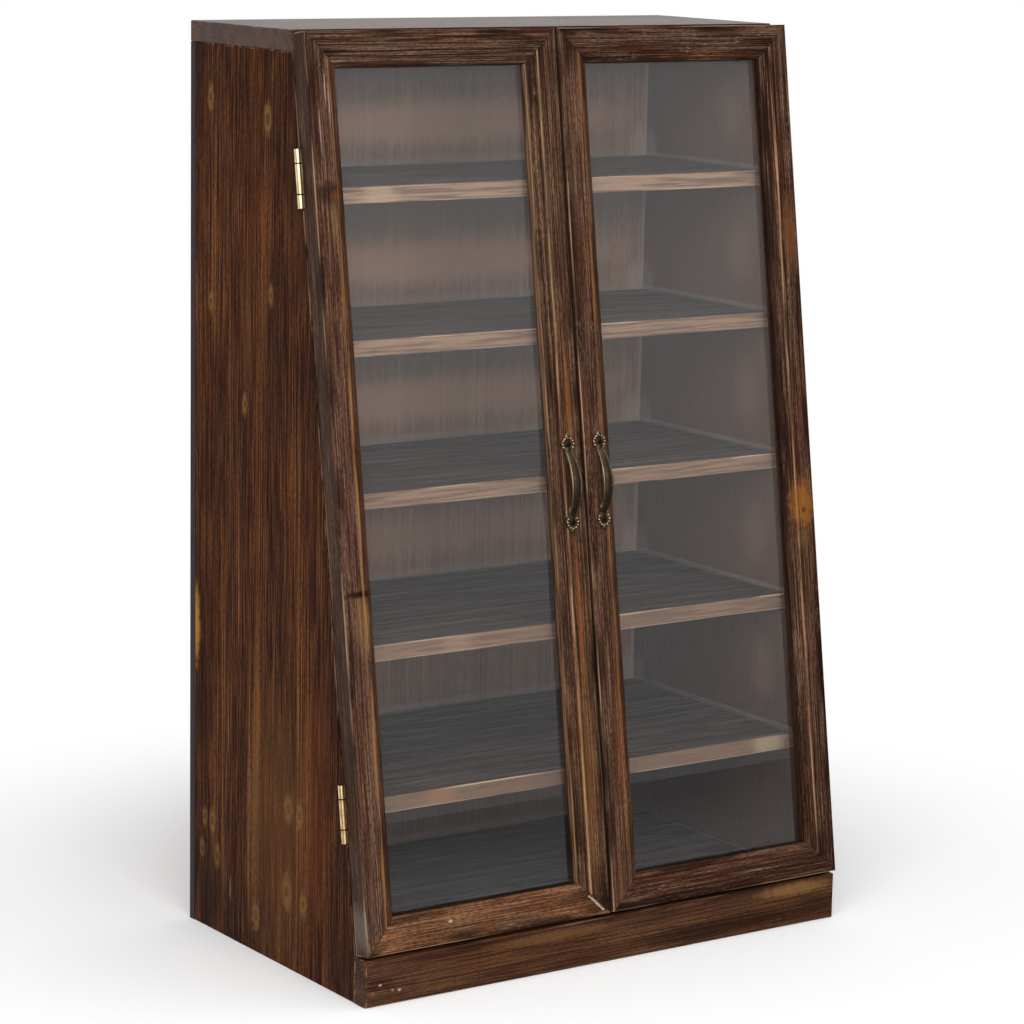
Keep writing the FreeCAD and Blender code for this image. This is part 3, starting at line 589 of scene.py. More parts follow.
# %% Sides, top and plinth
SIDE_KNOTS = [
    (345.7, 109.8, 5), (333.7, 13.6, 6), (170, 109, 4), (186.5, 7.1, 4), (89.2, 49.8, 4), (-249, -27.1, 6),
    (-251, -45.7, 5), (-290.2, 117.7, 4), (-291.4, 103.9, 5), (-320.6, 122, 4), (-321.3, 95.3, 5), (-358.4, 27.1, 6),
    (-323.1, -25, 7), (-327.4, -52.7, 5),
]
SIDE = {
    "sloping": True, "coarse": 1.1, "ring_width": 5.0, "rings": 0.3, "fibres": 0.6, "hairs": 0.42, "scuffs": 0.0,
    "wear": 0.3, "bands": 0.8, "blotches": 0.5, "sheen": 0.02, "pale": "#8a5630", "dark": "#1a0b06", "grit": 0.4,
    "halo": "#8a683a",
}
DUST, WALL, PAINTED_LIGHT = "#a1948d", "#664d43", "#82695a"
REAR = 137  # millimetres behind the middle, where the back stands
WALL_REACH, FACE_REACH = 3, 6  # millimetres that a colour goes into the board
for side, depth, knots, shift in (
    ("left", -SIDE_FACE, SIDE_KNOTS, 0.0),
    ("right", SIDE_FACE, [(210, 40, 6), (-120, -30, 5), (-300, 80, 6)], 40.0),
):
    inner, outer = (depth, FACE_REACH), (-depth, FACE_REACH)
    finish_board(
        side + "_side_panel",
        UP,
        BACKWARD,
        **SIDE,
        knots=knots,
        shift=shift,
        spots=[
            # the dark oval from 330 mm below the middle of the inner face is painted shade of the lower compartments
            (WALL, 0, 0, ENDLESS, ENDLESS, 0.8, depth, WALL_REACH), ("#3a2c28", -330, 0, 240, 400, 0.6, *inner),
            (DUST, 0, REAR, 400, 3, 0.3, *inner),
            *((DUST, top + 5, REAR - 6, 24, 16, 0.35, *inner) for top in SHELF_TOPS),
            *((DUST, top + 2, 0, 3, 400, 0.25, *inner) for top in SHELF_TOPS),
            # painted light: a pale pool on the inner face above each shelf
            *((PAINTED_LIGHT, top + 50, 10 - 18 * i, 34, 24, 0.35, *inner) for i, top in enumerate(reversed(SHELF_TOPS))),
            ("#7a5530", -235, 28, 150, 11, 0.3, *outer), ("#6e4a2a", -270, -10, 150, 70, 0.25, *outer),
            ("#6b3517", -230, -75, 130, 26, 0.2, *outer), ("#22100a", -190, 118, 75, 16, 0.5, *outer),
            ("#20120d", -356, 110, 50, 34, 0.5, *outer), ("#6a3a1c", 253, 22, 34, 6, 0.3, *outer),
            ("#5f4326", 153, 47, 80, 10, 0.25, *outer), ("#27120a", 300, 40, 90, 12, 0.45, *outer),
            ("#8a7566", -345, 72, 12, 1.4, 0.5, *outer), ("#8a7566", -205, 76, 22, 1, 0.4, *outer),
            # the dark oval beside the golden split is its painted shadow
            ("#150a06", -112, 124, 46, 9, 0.5, *outer), ("#a87432", -118, 134, 42, 8, 0.8, *outer),
        ],
    )
finish_board(
    "top_panel",
    RIGHT,
    BACKWARD,
    ground="#4a2619",
    pith=(60, -160),
    sheen=0.2,
    gloss=(0.31, 0.41),
    wear=0.25,
    shift=80.0,
)
GOLDEN, SPECK = "#7d5c34", "#c8beb2"
finish_board(
    "plinth_board",
    RIGHT,
    UP,
    ground="#563827",
    pith=(-60, 40),
    ring_width=3.6,
    fibres=0.65,
    hairs=0.55,
    wear=0.8,
    shift=120.0,
    spots=[
        (GOLDEN, 205, 13, 50, 7, 0.55), (GOLDEN, -60, 12, 70, 6, 0.3), ("#1c0e07", 130, -8, 130, 10, 0.7),
        (SPECK, -236, -2, 2, 1.2, 0.5), (SPECK, -217, -9, 2, 1.2, 0.5), (SPECK, -224, -8, 1.5, 1, 0.4),
    ],
)
print("carcass finished,", len(bpy.data.materials), "materials so far")

# %% [markdown]
# ## Back, floor and shelves
# Inside, the stain is the same but dull with dust. Dust gathers where a duster can't reach: along the back of each
# shelf and in the upright corners. The back also carries painted shade and light: painted shade on its edges, a
# painted shadow under each shelf, a pale pool of painted light lower in each compartment, stronger higher up, and
# painted shade towards the bottom. The shelves are painted darker towards the bottom, as painted shade. The front edges
# of the shelves were left paler, with a bright line on the arris that is partly wear and partly a painted highlight,
# stronger on the higher shelves.

# %% Inside boards
HOUSING = 5.9  # millimetres of a shelf's end that are hidden in the side
CLEAR_HALF, OUTER_HALF = 232, 250  # millimetres from the middle to the sides' inner and outer faces
BACK = {
    "ground": "#8d6b5a", "pale": "#a08374", "warm": "#946853", "dark": "#5f4335", "summer": "#664a3c", "rings": 0.2,
    "fibres": 0.25, "hairs": 0.2, "bands": 0.35, "blotches": 0.35, "grime": 0.0, "scuffs": 0.0, "wear": 0.0,
    "ragged": 0.4,
}
INSIDE = (-4.5, 4)  # depth of the back panel's inner face, and a reach that stays clear of the outer one
finish_board(
    "back_panel",
    UP,
    RIGHT,
    **BACK,
    pith=(-340, 50),
    ring_width=5.5,
    shift=160.0,
    # the dark line along the rims is painted shade on the back panel's edges
    lines=[("rim", 0, 2, 1.0, "#2e2226")],
    spots=[
        # a dark band in the upper part of each compartment is the painted shadow of the shelf above
        *(("#4f4643", level + 96, 0, 42, 600, 0.7, *INSIDE) for level in FLOORS),
        # a pale pool lower in each compartment is painted light, stronger on the higher floors
        *(
            ("#b98d77", level + 38, 0, 24, 230, strength, *INSIDE)
            for level, strength in zip(FLOORS, (0, 0, 0.35, 0.6, 0.65, 0.65))
        ),
        # the dark oval low on the back is painted shade of the lower compartments
        ("#4a3e3b", -330, 0, 170, 600, 0.6, *INSIDE),
        *((DUST, level + 8, CLEAR_HALF - 8, 26, 12, 0.4, *INSIDE) for level in FLOORS),
        *((DUST, level + 2, 0, 6, 300, 0.2, *INSIDE) for level in FLOORS),
        *((DUST, 0, x, ENDLESS, 4, 0.4, *INSIDE) for x in (-CLEAR_HALF, CLEAR_HALF)),
        ("#96702a", -115, -OUTER_HALF, 30, 2, 0.7), ("#8a3a1e", 66, -OUTER_HALF, 6, 2, 0.8),
    ],
)
SHELF = {
    "pale": "#6f645e", "warm": "#553d34", "dark": "#281f1d", "summer": "#281f1d", "worn": "#c0a28a",
    "wear": 0.9, "grime": 0.0, "hairs": 0.4, "fibres": 0.35, "grit": 0.2, "scuffs": 0.0, "coarse": 5.0,
}
# the grounds grow darker towards the bottom: painted shade of the lower compartments
SHELF_GROUNDS_AND_SHADE = {
    "bottom_panel": "#302623", "shelf_1": "#392d29", "shelf_2": "#392d29", "shelf_3": "#40322e", "shelf_4": "#4a3c37",
    "shelf_5": "#4f403b",
}
BARE_EDGE, PALE_EDGE_AND_HIGHLIGHT = "#6e5141", "#a8846a"
EDGE_KNOTS = {
    "shelf_1": [(-152, "#96613f"), (202, "#b39c80")], "shelf_2": [(-123, "#937262")], "shelf_5": [(-172, "#bda283")],
}
for i, (node, ground) in enumerate(SHELF_GROUNDS_AND_SHADE.items()):
    front = -measure_board(node, RIGHT, BACKWARD)["half"].y
    finish_board(
        node,
        RIGHT,
        BACKWARD,
        **SHELF,
        ground=ground,
        pith=(-200, -60),
        ring_width=4.6,
        shift=200.0 + 40 * i,
        spots=[
            (BARE_EDGE, 0, front, ENDLESS, 2, 0.75),
            *((colour, x, front, 20, 2, 0.4) for x, colour in EDGE_KNOTS.get(node, [])),
        ],
        rubs=[
            # the pale arris line is partly wear and partly a painted highlight, stronger on the higher shelves
            ("outer", 0, 1, 0.12 * i, PALE_EDGE_AND_HIGHLIGHT), ("inner", 0, 6, 0.4, DUST), ("end", HOUSING, 4, 0.5, DUST),
        ],
    )
print("inside finished,", len(bpy.data.materials), "materials so far")

# %% [markdown]
# ## Doors
# Each door is four mitred members with a moulded inner edge. The stain is greyer on the faces and worn to a tan on the
# thin lip beside the glass. Beside the glass, dark lines are painted shade of the rebate and the quirk, and pale lines
# along the moulding are painted highlights, partly wear. A dark hairline of old glue marks every mitre, and one mitre
# was filled with pale putty.

# %% Door members
LIP, GLUE_AND_SHADE, GOLD_WEAR_AND_HIGHLIGHT, PUTTY, WORN = "#8a6a4e", "#1a0d07", "#8f6236", "#b9a994", "#a08a7a"
DOOR = {
    "pale": "#7c614d", "dark": "#1f0e08", "summer": "#26120a", "ring_width": 3.2, "pith": (-60, 30), "rings": 0.25,
    "sheen": 0.04, "scuffs": 0.2, "fibres": 0.65, "hairs": 0.55, "grit": 0.5, "grime": 0.85, "wear": 0.55,
    "bands": 0.45,
}
GLUE_LINE, SHADOW_LINE = ("mitre", 0, 0.7, 0.5, GLUE_AND_SHADE), ("inner", 0, 0.9, 0.8, "#140b07")
OUTER_FACE, RAIL_LINES = ("outer", 0, 1.0, 0.45, "#33271f"), [GLUE_LINE, SHADOW_LINE]
PUTTY_DOTS, PUTTY_STEP = 9, 1.6  # a row of dots along the mitre, with the step in millimetres
finish_board(
    "left_door_hinge_stile",
    UPHILL,
    RIGHT,
    **DOOR,
    ground="#563b2f",
    shift=400.0,
    # the dark line 3 mm in from the glass is painted shade of the rebate
    lines=[("inner", 3, 2.5, 0.6, "#3a1f14"), GLUE_LINE, OUTER_FACE],
    # the gold line on the moulding is partly worn stain and partly a painted highlight
    rubs=[("inner", 8.5, 2.4, 0.6, GOLD_WEAR_AND_HIGHLIGHT)],
    spots=[
        ("#1d0d07", 250, -2, 11, 18, 0.7), ("#6b3a20", 247, 5, 5, 7, 0.35), ("#6b5c3a", 225, 2, 22, 4, 0.35),
        ("#94703f", -104, 4, 34, 12, 0.2), ("#140905", -81, 4, 4, 20, 0.9),
        ("#26140f", 180, 0, 24, 8, 0.5), ("#8b7f78", -358, -15, 22, 2, 0.5),
        (WORN, 335, 1, 16, 0.9, 0.6), (WORN, 322, 5, 20, 0.8, 0.5), (WORN, 300, -6, 26, 0.8, 0.5),
    ],
)
finish_board(
    "left_door_meeting_stile",
    UPHILL,
    -RIGHT,
    **DOOR,
    ground="#4a311f",
    shift=440.0,
    # the dark line 8 mm in from the glass is painted shade of the quirk
    lines=[("inner", 8, 1.0, 0.6, GLUE_AND_SHADE), GLUE_LINE, OUTER_FACE],
    # the pale line 11 mm in from the glass is a painted highlight on the bead's crest, partly wear
    rubs=[("inner", 0, 1.2, 0.7, LIP), ("inner", 11, 1.4, 0.6, "#aa8660")],
    spots=[
        ("#8f5427", 60, -4, 70, 3, 0.35), ("#8a4c24", -120, -2, 80, 3, 0.35), ("#2a150d", -20, 2, 60, 3, 0.5),
        (GOLD_WEAR_AND_HIGHLIGHT, -260, 0, 110, 10, 0.18),
    ],
)
finish_board(
    "left_door_bottom_rail",
    RIGHT,
    UPHILL,
    **DOOR,
    ground="#90613e",
    shift=520.0,
    lines=RAIL_LINES,
    spots=[
        ("#b5a28e", -40, 3, 3, 1.6, 0.7),
        *((PUTTY, 103 + PUTTY_STEP * i, 2.3 - PUTTY_STEP * i, 1.8, 1.0, 0.75) for i in range(PUTTY_DOTS)),
    ],
)
finish_board(
    "right_door_hinge_stile",
    UPHILL,
    -RIGHT,
    **DOOR,
    ground="#3a2217",
    shift=600.0,
    # the dark line at the glass is painted shade of the rebate
    lines=[("inner", 0, 2.5, 0.6, GLUE_AND_SHADE), GLUE_LINE, OUTER_FACE],
    # the pale line 11 mm in from the glass is a painted highlight on the bead's crest, partly wear
    rubs=[("inner", 11, 1.2, 0.5, "#b08a68")],
    spots=[
        ("#80501f", -46, -2, 26, 15, 0.7), ("#3a1c0c", -52, -3, 4, 3, 0.8), ("#704522", 194, -6, 40, 9, 0.4),
        # the pale streak high up beside the crest is a stronger piece of the same painted highlight
        ("#5f4f2a", -78, 0, 12, 9, 0.4), ("#b08a68", 240, 3, 60, 1.2, 0.5),
    ],
)
finish_board(
    "right_door_meeting_stile",
    UPHILL,
    RIGHT,
    **DOOR,
    ground="#583c2c",
    shift=640.0,
    # the dark line 3 mm in from the glass is painted shade of the rebate
    lines=[("inner", 3, 2.5, 0.5, "#3a1f14"), GLUE_LINE, OUTER_FACE],
    # the gold line on the moulding is partly worn stain and partly a painted highlight
    rubs=[("inner", 8.5, 2.4, 0.4, GOLD_WEAR_AND_HIGHLIGHT)],
    spots=[("#6e3a1e", -230, 4, 60, 5, 0.3)],
)
finish_board("right_door_bottom_rail", RIGHT, UPHILL, **DOOR, ground="#432a1d", shift=720.0, lines=RAIL_LINES)
for side, shift in (("left", 480.0), ("right", 680.0)):
    finish_board(side + "_door_top_rail", RIGHT, -UPHILL, **DOOR, ground="#3a251a", shift=shift, lines=RAIL_LINES)
    finish_board(side + "_door_glazing_beads", UPHILL, RIGHT, shift=760.0)
print("doors finished,", len(bpy.data.materials), "materials so far")

# %% [markdown]
# ## Pegs and dowels
# The pegs that hold the top, the plinth and the mitres are turned beech. They are hidden when the case is closed, so
# the same finish with a beech palette and fine rings is enough.

# %% Beech pegs
BEECH = {
    "ground": "#b98a5c", "pale": "#cda577", "warm": "#b27c4c", "dark": "#9a6c43", "summer": "#96683f",
    "worn": "#d6b48a", "heart": "#7d5633", "scuff": "#d6b48a", "ring_width": 2.0, "wander": 4,
}
finish_board("top_panel_pegs", UP, RIGHT, **BEECH)
finish_board("plinth_pegs", BACKWARD, RIGHT, **BEECH)
for side in ("left", "right"):
    finish_board(side + "_door_corner_dowels", RIGHT, UPHILL, **BEECH)
print("pegs finished")

# %% [markdown]
# ## Glass
# The panes are old window glass with a thin film, denser towards the top, which veils the upper shelves. The film is
# partly dust and partly a painted reflection: it thickens upwards as the pane's reflection of the studio brightens. It
# is the small part of the pane that scatters light instead of letting it through. Real glass in a renderer turns lamp
# light into slow, noisy caustics, so shadow and diffuse rays pass straight through the pane.

# %% Window glass
SMEAR_SIZE, SMEAR_DEPTH = 90, 0.12  # millimetres, and metres that a smear shifts the film
FILM_FOOT, FILM_HEAD, CLEAR_FOOT, CLEAR_HEAD = 0.15, 0.65, 0.999, 0.986  # heights in metres, parts let through
glass, tree = empty_material("window_glass")
ray = add_node(tree, "ShaderNodeLightPath")
passing = add_node(
    tree, "ShaderNodeMath", {0: ray.outputs["Is Shadow Ray"], 1: ray.outputs["Is Diffuse Ray"]}, operation="MAXIMUM"
)
place = add_node(tree, "ShaderNodeTexCoord").outputs["Object"]
height = add_node(tree, "ShaderNodeSeparateXYZ", {0: place}).outputs["Z"]
smears = add_node(tree, "ShaderNodeTexNoise", {"Vector": place, "Scale": 1 / (SMEAR_SIZE * MM), "Detail": 2.0})
veil_height = add_node(tree, "ShaderNodeMath", {0: smears.outputs[0], 1: SMEAR_DEPTH, 2: height}, operation="MULTIPLY_ADD")
# the film is partly dust and partly a painted reflection, denser towards the top
film = add_node(
    tree, "ShaderNodeMapRange", {0: veil_height.outputs[0], 1: FILM_FOOT, 2: FILM_HEAD, 3: CLEAR_FOOT, 4: CLEAR_HEAD}
)
pane = add_node(
    tree,
    "ShaderNodeBsdfPrincipled",
    {"Base Color": linear("#f4f4f6"), "Roughness": 0.0, "IOR": 1.5, "Transmission Weight": film.outputs[0]},
)
clear = add_node(tree, "ShaderNodeBsdfTransparent", {"Color": linear("#f6faf8")})
either = add_node(tree, "ShaderNodeMixShader", {0: passing.outputs[0], 1: pane.outputs[0], 2: clear.outputs[0]})
add_node(tree, "ShaderNodeOutputMaterial", {"Surface": either.outputs[0]})
for side in ("left", "right"):
    frame["nodes"][side + "_door_glass"].material_slots[0].material = glass
print("two panes glazed")

# %% [markdown]
# ## Metals
# The hinges are solid brass, bright in some places and tarnished in others, with dark joints between the knuckles. The
# upper hinges are given paler brass than the lower ones, a painted highlight. The nails and brads are bright steel
# wire.
# A metal needs its tarnish as much as its shine, so a soft noise blends a bright and a dull colour and moves the
# roughness with it.

# %% Finish metal pieces
TARNISH_START, TARNISH_END, TARNISH_ROUGH = 0.42, 0.68, 0.3
JOINT_HALF, JOINT_DARK = 0.6, "#2a1d10"  # the half width in millimetres


def finish_metal(name, nodes, bright, dull, patch, gloss, joints=()):
    """Gives nodes a metal with patches of tarnish that wide in millimetres and dark lines at joints up the front."""
    material, tree = empty_material(name)
    place = add_node(tree, "ShaderNodeTexCoord").outputs["Object"]
    noise = add_node(tree, "ShaderNodeTexNoise", {"Vector": place, "Scale": 1 / (patch * MM), "Detail": 4.0})
    tarnish = add_node(tree, "ShaderNodeMapRange", {0: noise.outputs[0], 1: TARNISH_START, 2: TARNISH_END})
    colour = add_node(
        tree, "ShaderNodeMix", {0: tarnish.outputs[0], 6: linear(bright), 7: linear(dull)}, data_type="RGBA"
    ).outputs[2]
    level = add_node(tree, "ShaderNodeVectorMath", {0: place, 1: UPHILL}, operation="DOT_PRODUCT").outputs["Value"]
    for joint in joints:
        line = add_node(tree, "ShaderNodeMath", {0: level, 1: joint, 2: JOINT_HALF * MM}, operation="COMPARE")
        colour = add_node(
            tree, "ShaderNodeMix", {0: line.outputs[0], 6: colour, 7: linear(JOINT_DARK)}, data_type="RGBA"
        ).outputs[2]
    rough = add_node(tree, "ShaderNodeMapRange", {0: tarnish.outputs[0], 3: gloss, 4: gloss + TARNISH_ROUGH})
    bump = add_node(tree, "ShaderNodeBump", {"Strength": 0.2, "Distance": 0.05 * MM, "Height": noise.outputs[0]})
    metal = add_node(
        tree,
        "ShaderNodeBsdfPrincipled",
        {"Base Color": colour, "Metallic": 1.0, "Roughness": rough.outputs[0], "Normal": bump.outputs[0]},
    )
    add_node(tree, "ShaderNodeOutputMaterial", {"Surface": metal.outputs[0]})
    for node in nodes:
        frame["nodes"][node].material_slots[0].material = material
    return material


def knuckle_joints(leaf):
    """The levels up the front, in metres, at which the knuckles of a hinge leaf begin and end."""
    reach = abs(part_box("left_side_panel")[0].x) + 0.1 * MM
    points = [vertex.co for vertex in frame["nodes"][leaf].data.vertices if abs(vertex.co.x) > reach]
    return sorted({round(point.dot(UPHILL), 4) for point in points})


# the upper hinges get paler brass than the lower ones: a painted highlight
for height, bright, dull, patch in (("upper", "#e8d4ac", "#c2a674", 14), ("lower", "#e6c998", "#a8834f", 9)):
    joints = knuckle_joints("left_" + height + "_hinge_door_leaf")
    pieces = [n for n in frame["nodes"] if height + "_hinge" in n]
    finish_metal(height + "_hinge_brass", pieces, bright, dull, patch, 0.34, joints)
    print(height, "hinges, joints at", [round(joint / MM, 1) for joint in joints], "mm up the front")
hinge_screws = [n for n in frame["nodes"] if "hinge" in n and n.endswith("screws")]
finish_metal("brass_screws", hinge_screws, "#e0bf74", "#8d6a35", 2, 0.3)
wire = ["back_panel_nails", "left_door_bead_brads", "right_door_bead_brads"]
finish_metal("steel_wire", wire, "#b4b2ad", "#6e6862", 1.5, 0.3)
print(len(hinge_screws) + len(wire), "sets of screws, nails and brads finished")

# %% [markdown]
# ## Pulls: rosettes
# The pulls are small brass castings. Each end is a dished rosette with a beaded rim, a pointed finial beyond it and a
# leaf towards the middle. They are modelled lying flat, with the length along Y and the front facing up, and turned
# into the plane of the doors at the end. A rosette starts as a low cylinder whose upper face is inset and sunk.

# %% Model a rosette
SCREW_OFF, ROSETTE_RADIUS, ROSETTE_HEIGHT = 33.5 * MM, 6.6 * MM, 2.2 * MM
RIM_WIDTH, DISH_DEPTH, STEP_WIDTH, STEP_RISE = 1.6 * MM, 1.0 * MM, 1.4 * MM, 0.5 * MM
bpy.ops.mesh.primitive_cylinder_add(
    vertices=48, radius=ROSETTE_RADIUS, depth=ROSETTE_HEIGHT, location=(0, SCREW_OFF, ROSETTE_HEIGHT / 2)
)
rosette = bpy.context.object
bpy.ops.object.mode_set(mode="EDIT")
bpy.ops.mesh.select_mode(type="FACE")
for face in bmesh.from_edit_mesh(rosette.data).faces:
    face.select = face.normal.z > 0.9
bpy.ops.mesh.inset(thickness=RIM_WIDTH)
bpy.ops.transform.translate(value=(0, 0, -DISH_DEPTH))
bpy.ops.mesh.inset(thickness=STEP_WIDTH)
bpy.ops.transform.translate(value=(0, 0, STEP_RISE))
bpy.ops.object.mode_set(mode="OBJECT")
print("rosette", len(rosette.data.polygons), "faces")

# %% [markdown]
# ## Pulls: beads and finial
# Nine beads sit round the outer two thirds of the rim. They are small spheres that melt into the casting later. The
# finial is a ball that is flattened against the door and drawn out to a point.

# %% Model the beads and the finial
BEADS, BEAD_STEP, BEAD_RADIUS, BEAD_CIRCLE, BEAD_LEVEL = 9, 30, 1.3, 5.5, 1.9  # a count, degrees, millimetres
FINIAL_RADIUS, FINIAL_OUT, FINIAL_LEVEL, FINIAL_TIP = 2.7, 6.4, 1.4, 8.4  # millimetres
end_pieces = [rosette]
for step in range(BEADS):
    angle = math.radians(90 + (step - BEADS // 2) * BEAD_STEP)
    bpy.ops.mesh.primitive_ico_sphere_add(
        subdivisions=2,
        radius=BEAD_RADIUS * MM,
        location=(
            math.cos(angle) * BEAD_CIRCLE * MM,
            SCREW_OFF + math.sin(angle) * BEAD_CIRCLE * MM,
            BEAD_LEVEL * MM,
        ),
    )
    end_pieces.append(bpy.context.object)
bpy.ops.mesh.primitive_uv_sphere_add(
    segments=32,
    ring_count=16,
    radius=FINIAL_RADIUS * MM,
    location=(0, SCREW_OFF + FINIAL_OUT * MM, FINIAL_LEVEL * MM),
    rotation=(-math.pi / 2, 0, 0),
)
finial = bpy.context.object
end_pieces.append(finial)
bpy.ops.object.transform_apply()
bpy.ops.object.mode_set(mode="EDIT")
bpy.ops.transform.resize(value=(1, 1, 0.6), center_override=(0, SCREW_OFF, 0.9 * MM))
tip = bmesh.from_edit_mesh(finial.data)
for vertex in tip.verts:
    vertex.select = vertex.co.y > SCREW_OFF + FINIAL_TIP * MM
tip.select_flush_mode()
bpy.ops.transform.resize(value=(0.6, 1, 0.7))
bpy.ops.transform.translate(value=(0, 0.7 * MM, 0))
bpy.ops.object.mode_set(mode="OBJECT")
print("finial reaches", round(max(v.co.y for v in finial.data.vertices) / MM, 1), "mm from the middle")

# %% [markdown]
# ## Pulls: leaf and bow
# A narrow leaf lies on the door where the bow meets the rosette. The bow itself is an oval section that is spun
# through an arc; its rings are then drawn in towards the ends, so that the strap is wide in the middle, where a hand
# takes it. A round bead, spun in the same way, follows each edge of the strap.

# %% Model the leaf
LEAF_IN, LEAF_LEVEL, LEAF_HALF = 7.5, 0.9, (3.2, 6.5, 1.6)  # millimetres
bpy.ops.mesh.primitive_uv_sphere_add(
    segments=24, ring_count=12, radius=1, location=(0, SCREW_OFF - LEAF_IN * MM, LEAF_LEVEL * MM)
)
leaf = bpy.context.object
end_pieces.append(leaf)
leaf.scale = [size * MM for size in LEAF_HALF]
bpy.ops.object.transform_apply()
bpy.ops.object.mode_set(mode="EDIT")
bpy.ops.mesh.select_all(action="SELECT")
bpy.ops.mesh.bisect(plane_co=(0, 0, 0.05 * MM), plane_no=(0, 0, -1), clear_outer=True, use_fill=True)
bpy.ops.object.mode_set(mode="OBJECT")
print("leaf", [round(size / MM, 1) for size in leaf.dimensions], "mm")

# %% Model the bow
BOW_HALF, BOW_HEIGHT, BOW_THICK = 30 * MM, 12.9 * MM, 2.2 * MM
BOW_STEPS, HALF_WIDTH, HALF_LOSS = 28, 4.4, 2.4  # the strap's half width, and what it loses at the ends, in millimetres
bow_radius = (BOW_HALF**2 + BOW_HEIGHT**2) / (2 * BOW_HEIGHT)
bow_centre = (0, 0, BOW_HEIGHT - bow_radius)
bow_sweep = math.asin(BOW_HALF / bow_radius)
line_radius = bow_radius - BOW_THICK / 2
bow_parts = []
for edge in (0, -1, 1):  # the flat strap, then a round bead along each of its edges
    bpy.ops.mesh.primitive_circle_add(
        vertices=20,
        radius=BOW_THICK / 2,
        fill_type="NGON",
        location=(0, -math.sin(bow_sweep) * line_radius, bow_centre[2] + math.cos(bow_sweep) * line_radius),
        rotation=(math.pi / 2 + bow_sweep, 0, 0),
    )
    bow = bpy.context.object
    bow_parts.append(bow)
    bpy.ops.object.transform_apply()
    bpy.ops.object.mode_set(mode="EDIT")
    bpy.ops.mesh.select_all(action="SELECT")
    bpy.ops.mesh.spin(steps=BOW_STEPS, angle=2 * bow_sweep, center=bow_centre, axis=(1, 0, 0))
    shape = bmesh.from_edit_mesh(bow.data)
    for step in range(BOW_STEPS + 1):
        angle = bow_sweep * (step / (BOW_STEPS / 2) - 1)
        for vertex in shape.verts:
            turn = math.atan2(vertex.co.y, vertex.co.z - bow_centre[2])
            vertex.select = abs(turn - angle) < bow_sweep / 60  # less than half a step
        shape.select_flush_mode()
        half_width = (HALF_WIDTH - HALF_LOSS * abs(angle / bow_sweep) ** 1.5) * MM
        if edge:
            bpy.ops.transform.translate(value=(edge * half_width, 0, 0))
        else:
            bpy.ops.transform.resize(value=(half_width / (BOW_THICK / 2), 1, 1), center_override=(0, 0, 0))
    bpy.ops.mesh.select_all(action="SELECT")
    bpy.ops.mesh.normals_make_consistent(inside=False)
    bpy.ops.object.mode_set(mode="OBJECT")
    print("bow", [round(size / MM, 1) for size in bow.dimensions], "mm")

# %% [markdown]
# ## Pulls: one casting
# The second end is the first one turned half round. Joined shells still cross each other, so a voxel remesh melts
# them into one closed skin, and a little smoothing rounds the inner corners as molten brass would.

# %% Cast the pull
VOXEL, SOFT_PASSES = 0.3, 6  # the voxel in millimetres


def select_only(*pieces):
    """Selects these pieces alone and makes the first one active."""
    bpy.ops.object.select_all(action="DESELECT")
    for piece in pieces:
        piece.select_set(True)
    bpy.context.view_layer.objects.active = pieces[0]


select_only(*end_pieces)
bpy.ops.object.join()
bpy.ops.object.transform_apply()
bpy.ops.object.duplicate()
other_end = bpy.context.object
bpy.ops.object.mode_set(mode="EDIT")
bpy.ops.mesh.select_all(action="SELECT")
bpy.ops.transform.rotate(value=math.pi, orient_axis="Z", center_override=(0, 0, 0))
bpy.ops.object.mode_set(mode="OBJECT")
select_only(rosette, other_end, *bow_parts)
bpy.ops.object.join()
left_pull = bpy.context.object
melt = left_pull.modifiers.new("melt", "REMESH")
melt.mode, melt.voxel_size = "VOXEL", VOXEL * MM
bpy.ops.object.modifier_apply(modifier="melt")
soften = left_pull.modifiers.new("soften", "SMOOTH")
soften.factor, soften.iterations = 0.5, SOFT_PASSES
bpy.ops.object.modifier_apply(modifier="soften")
bpy.ops.object.shade_smooth()
print("pull", len(left_pull.data.polygons), "faces,", [round(size / MM, 1) for size in left_pull.dimensions], "mm")

# %% [markdown]
# ## Pulls: screws
# Two dark, domed screws hold each pull. A dome is the upper part of a ball, cut off flat and closed; a bar cut through
# it leaves the slot. The shank runs into the door, where it is out of sight.

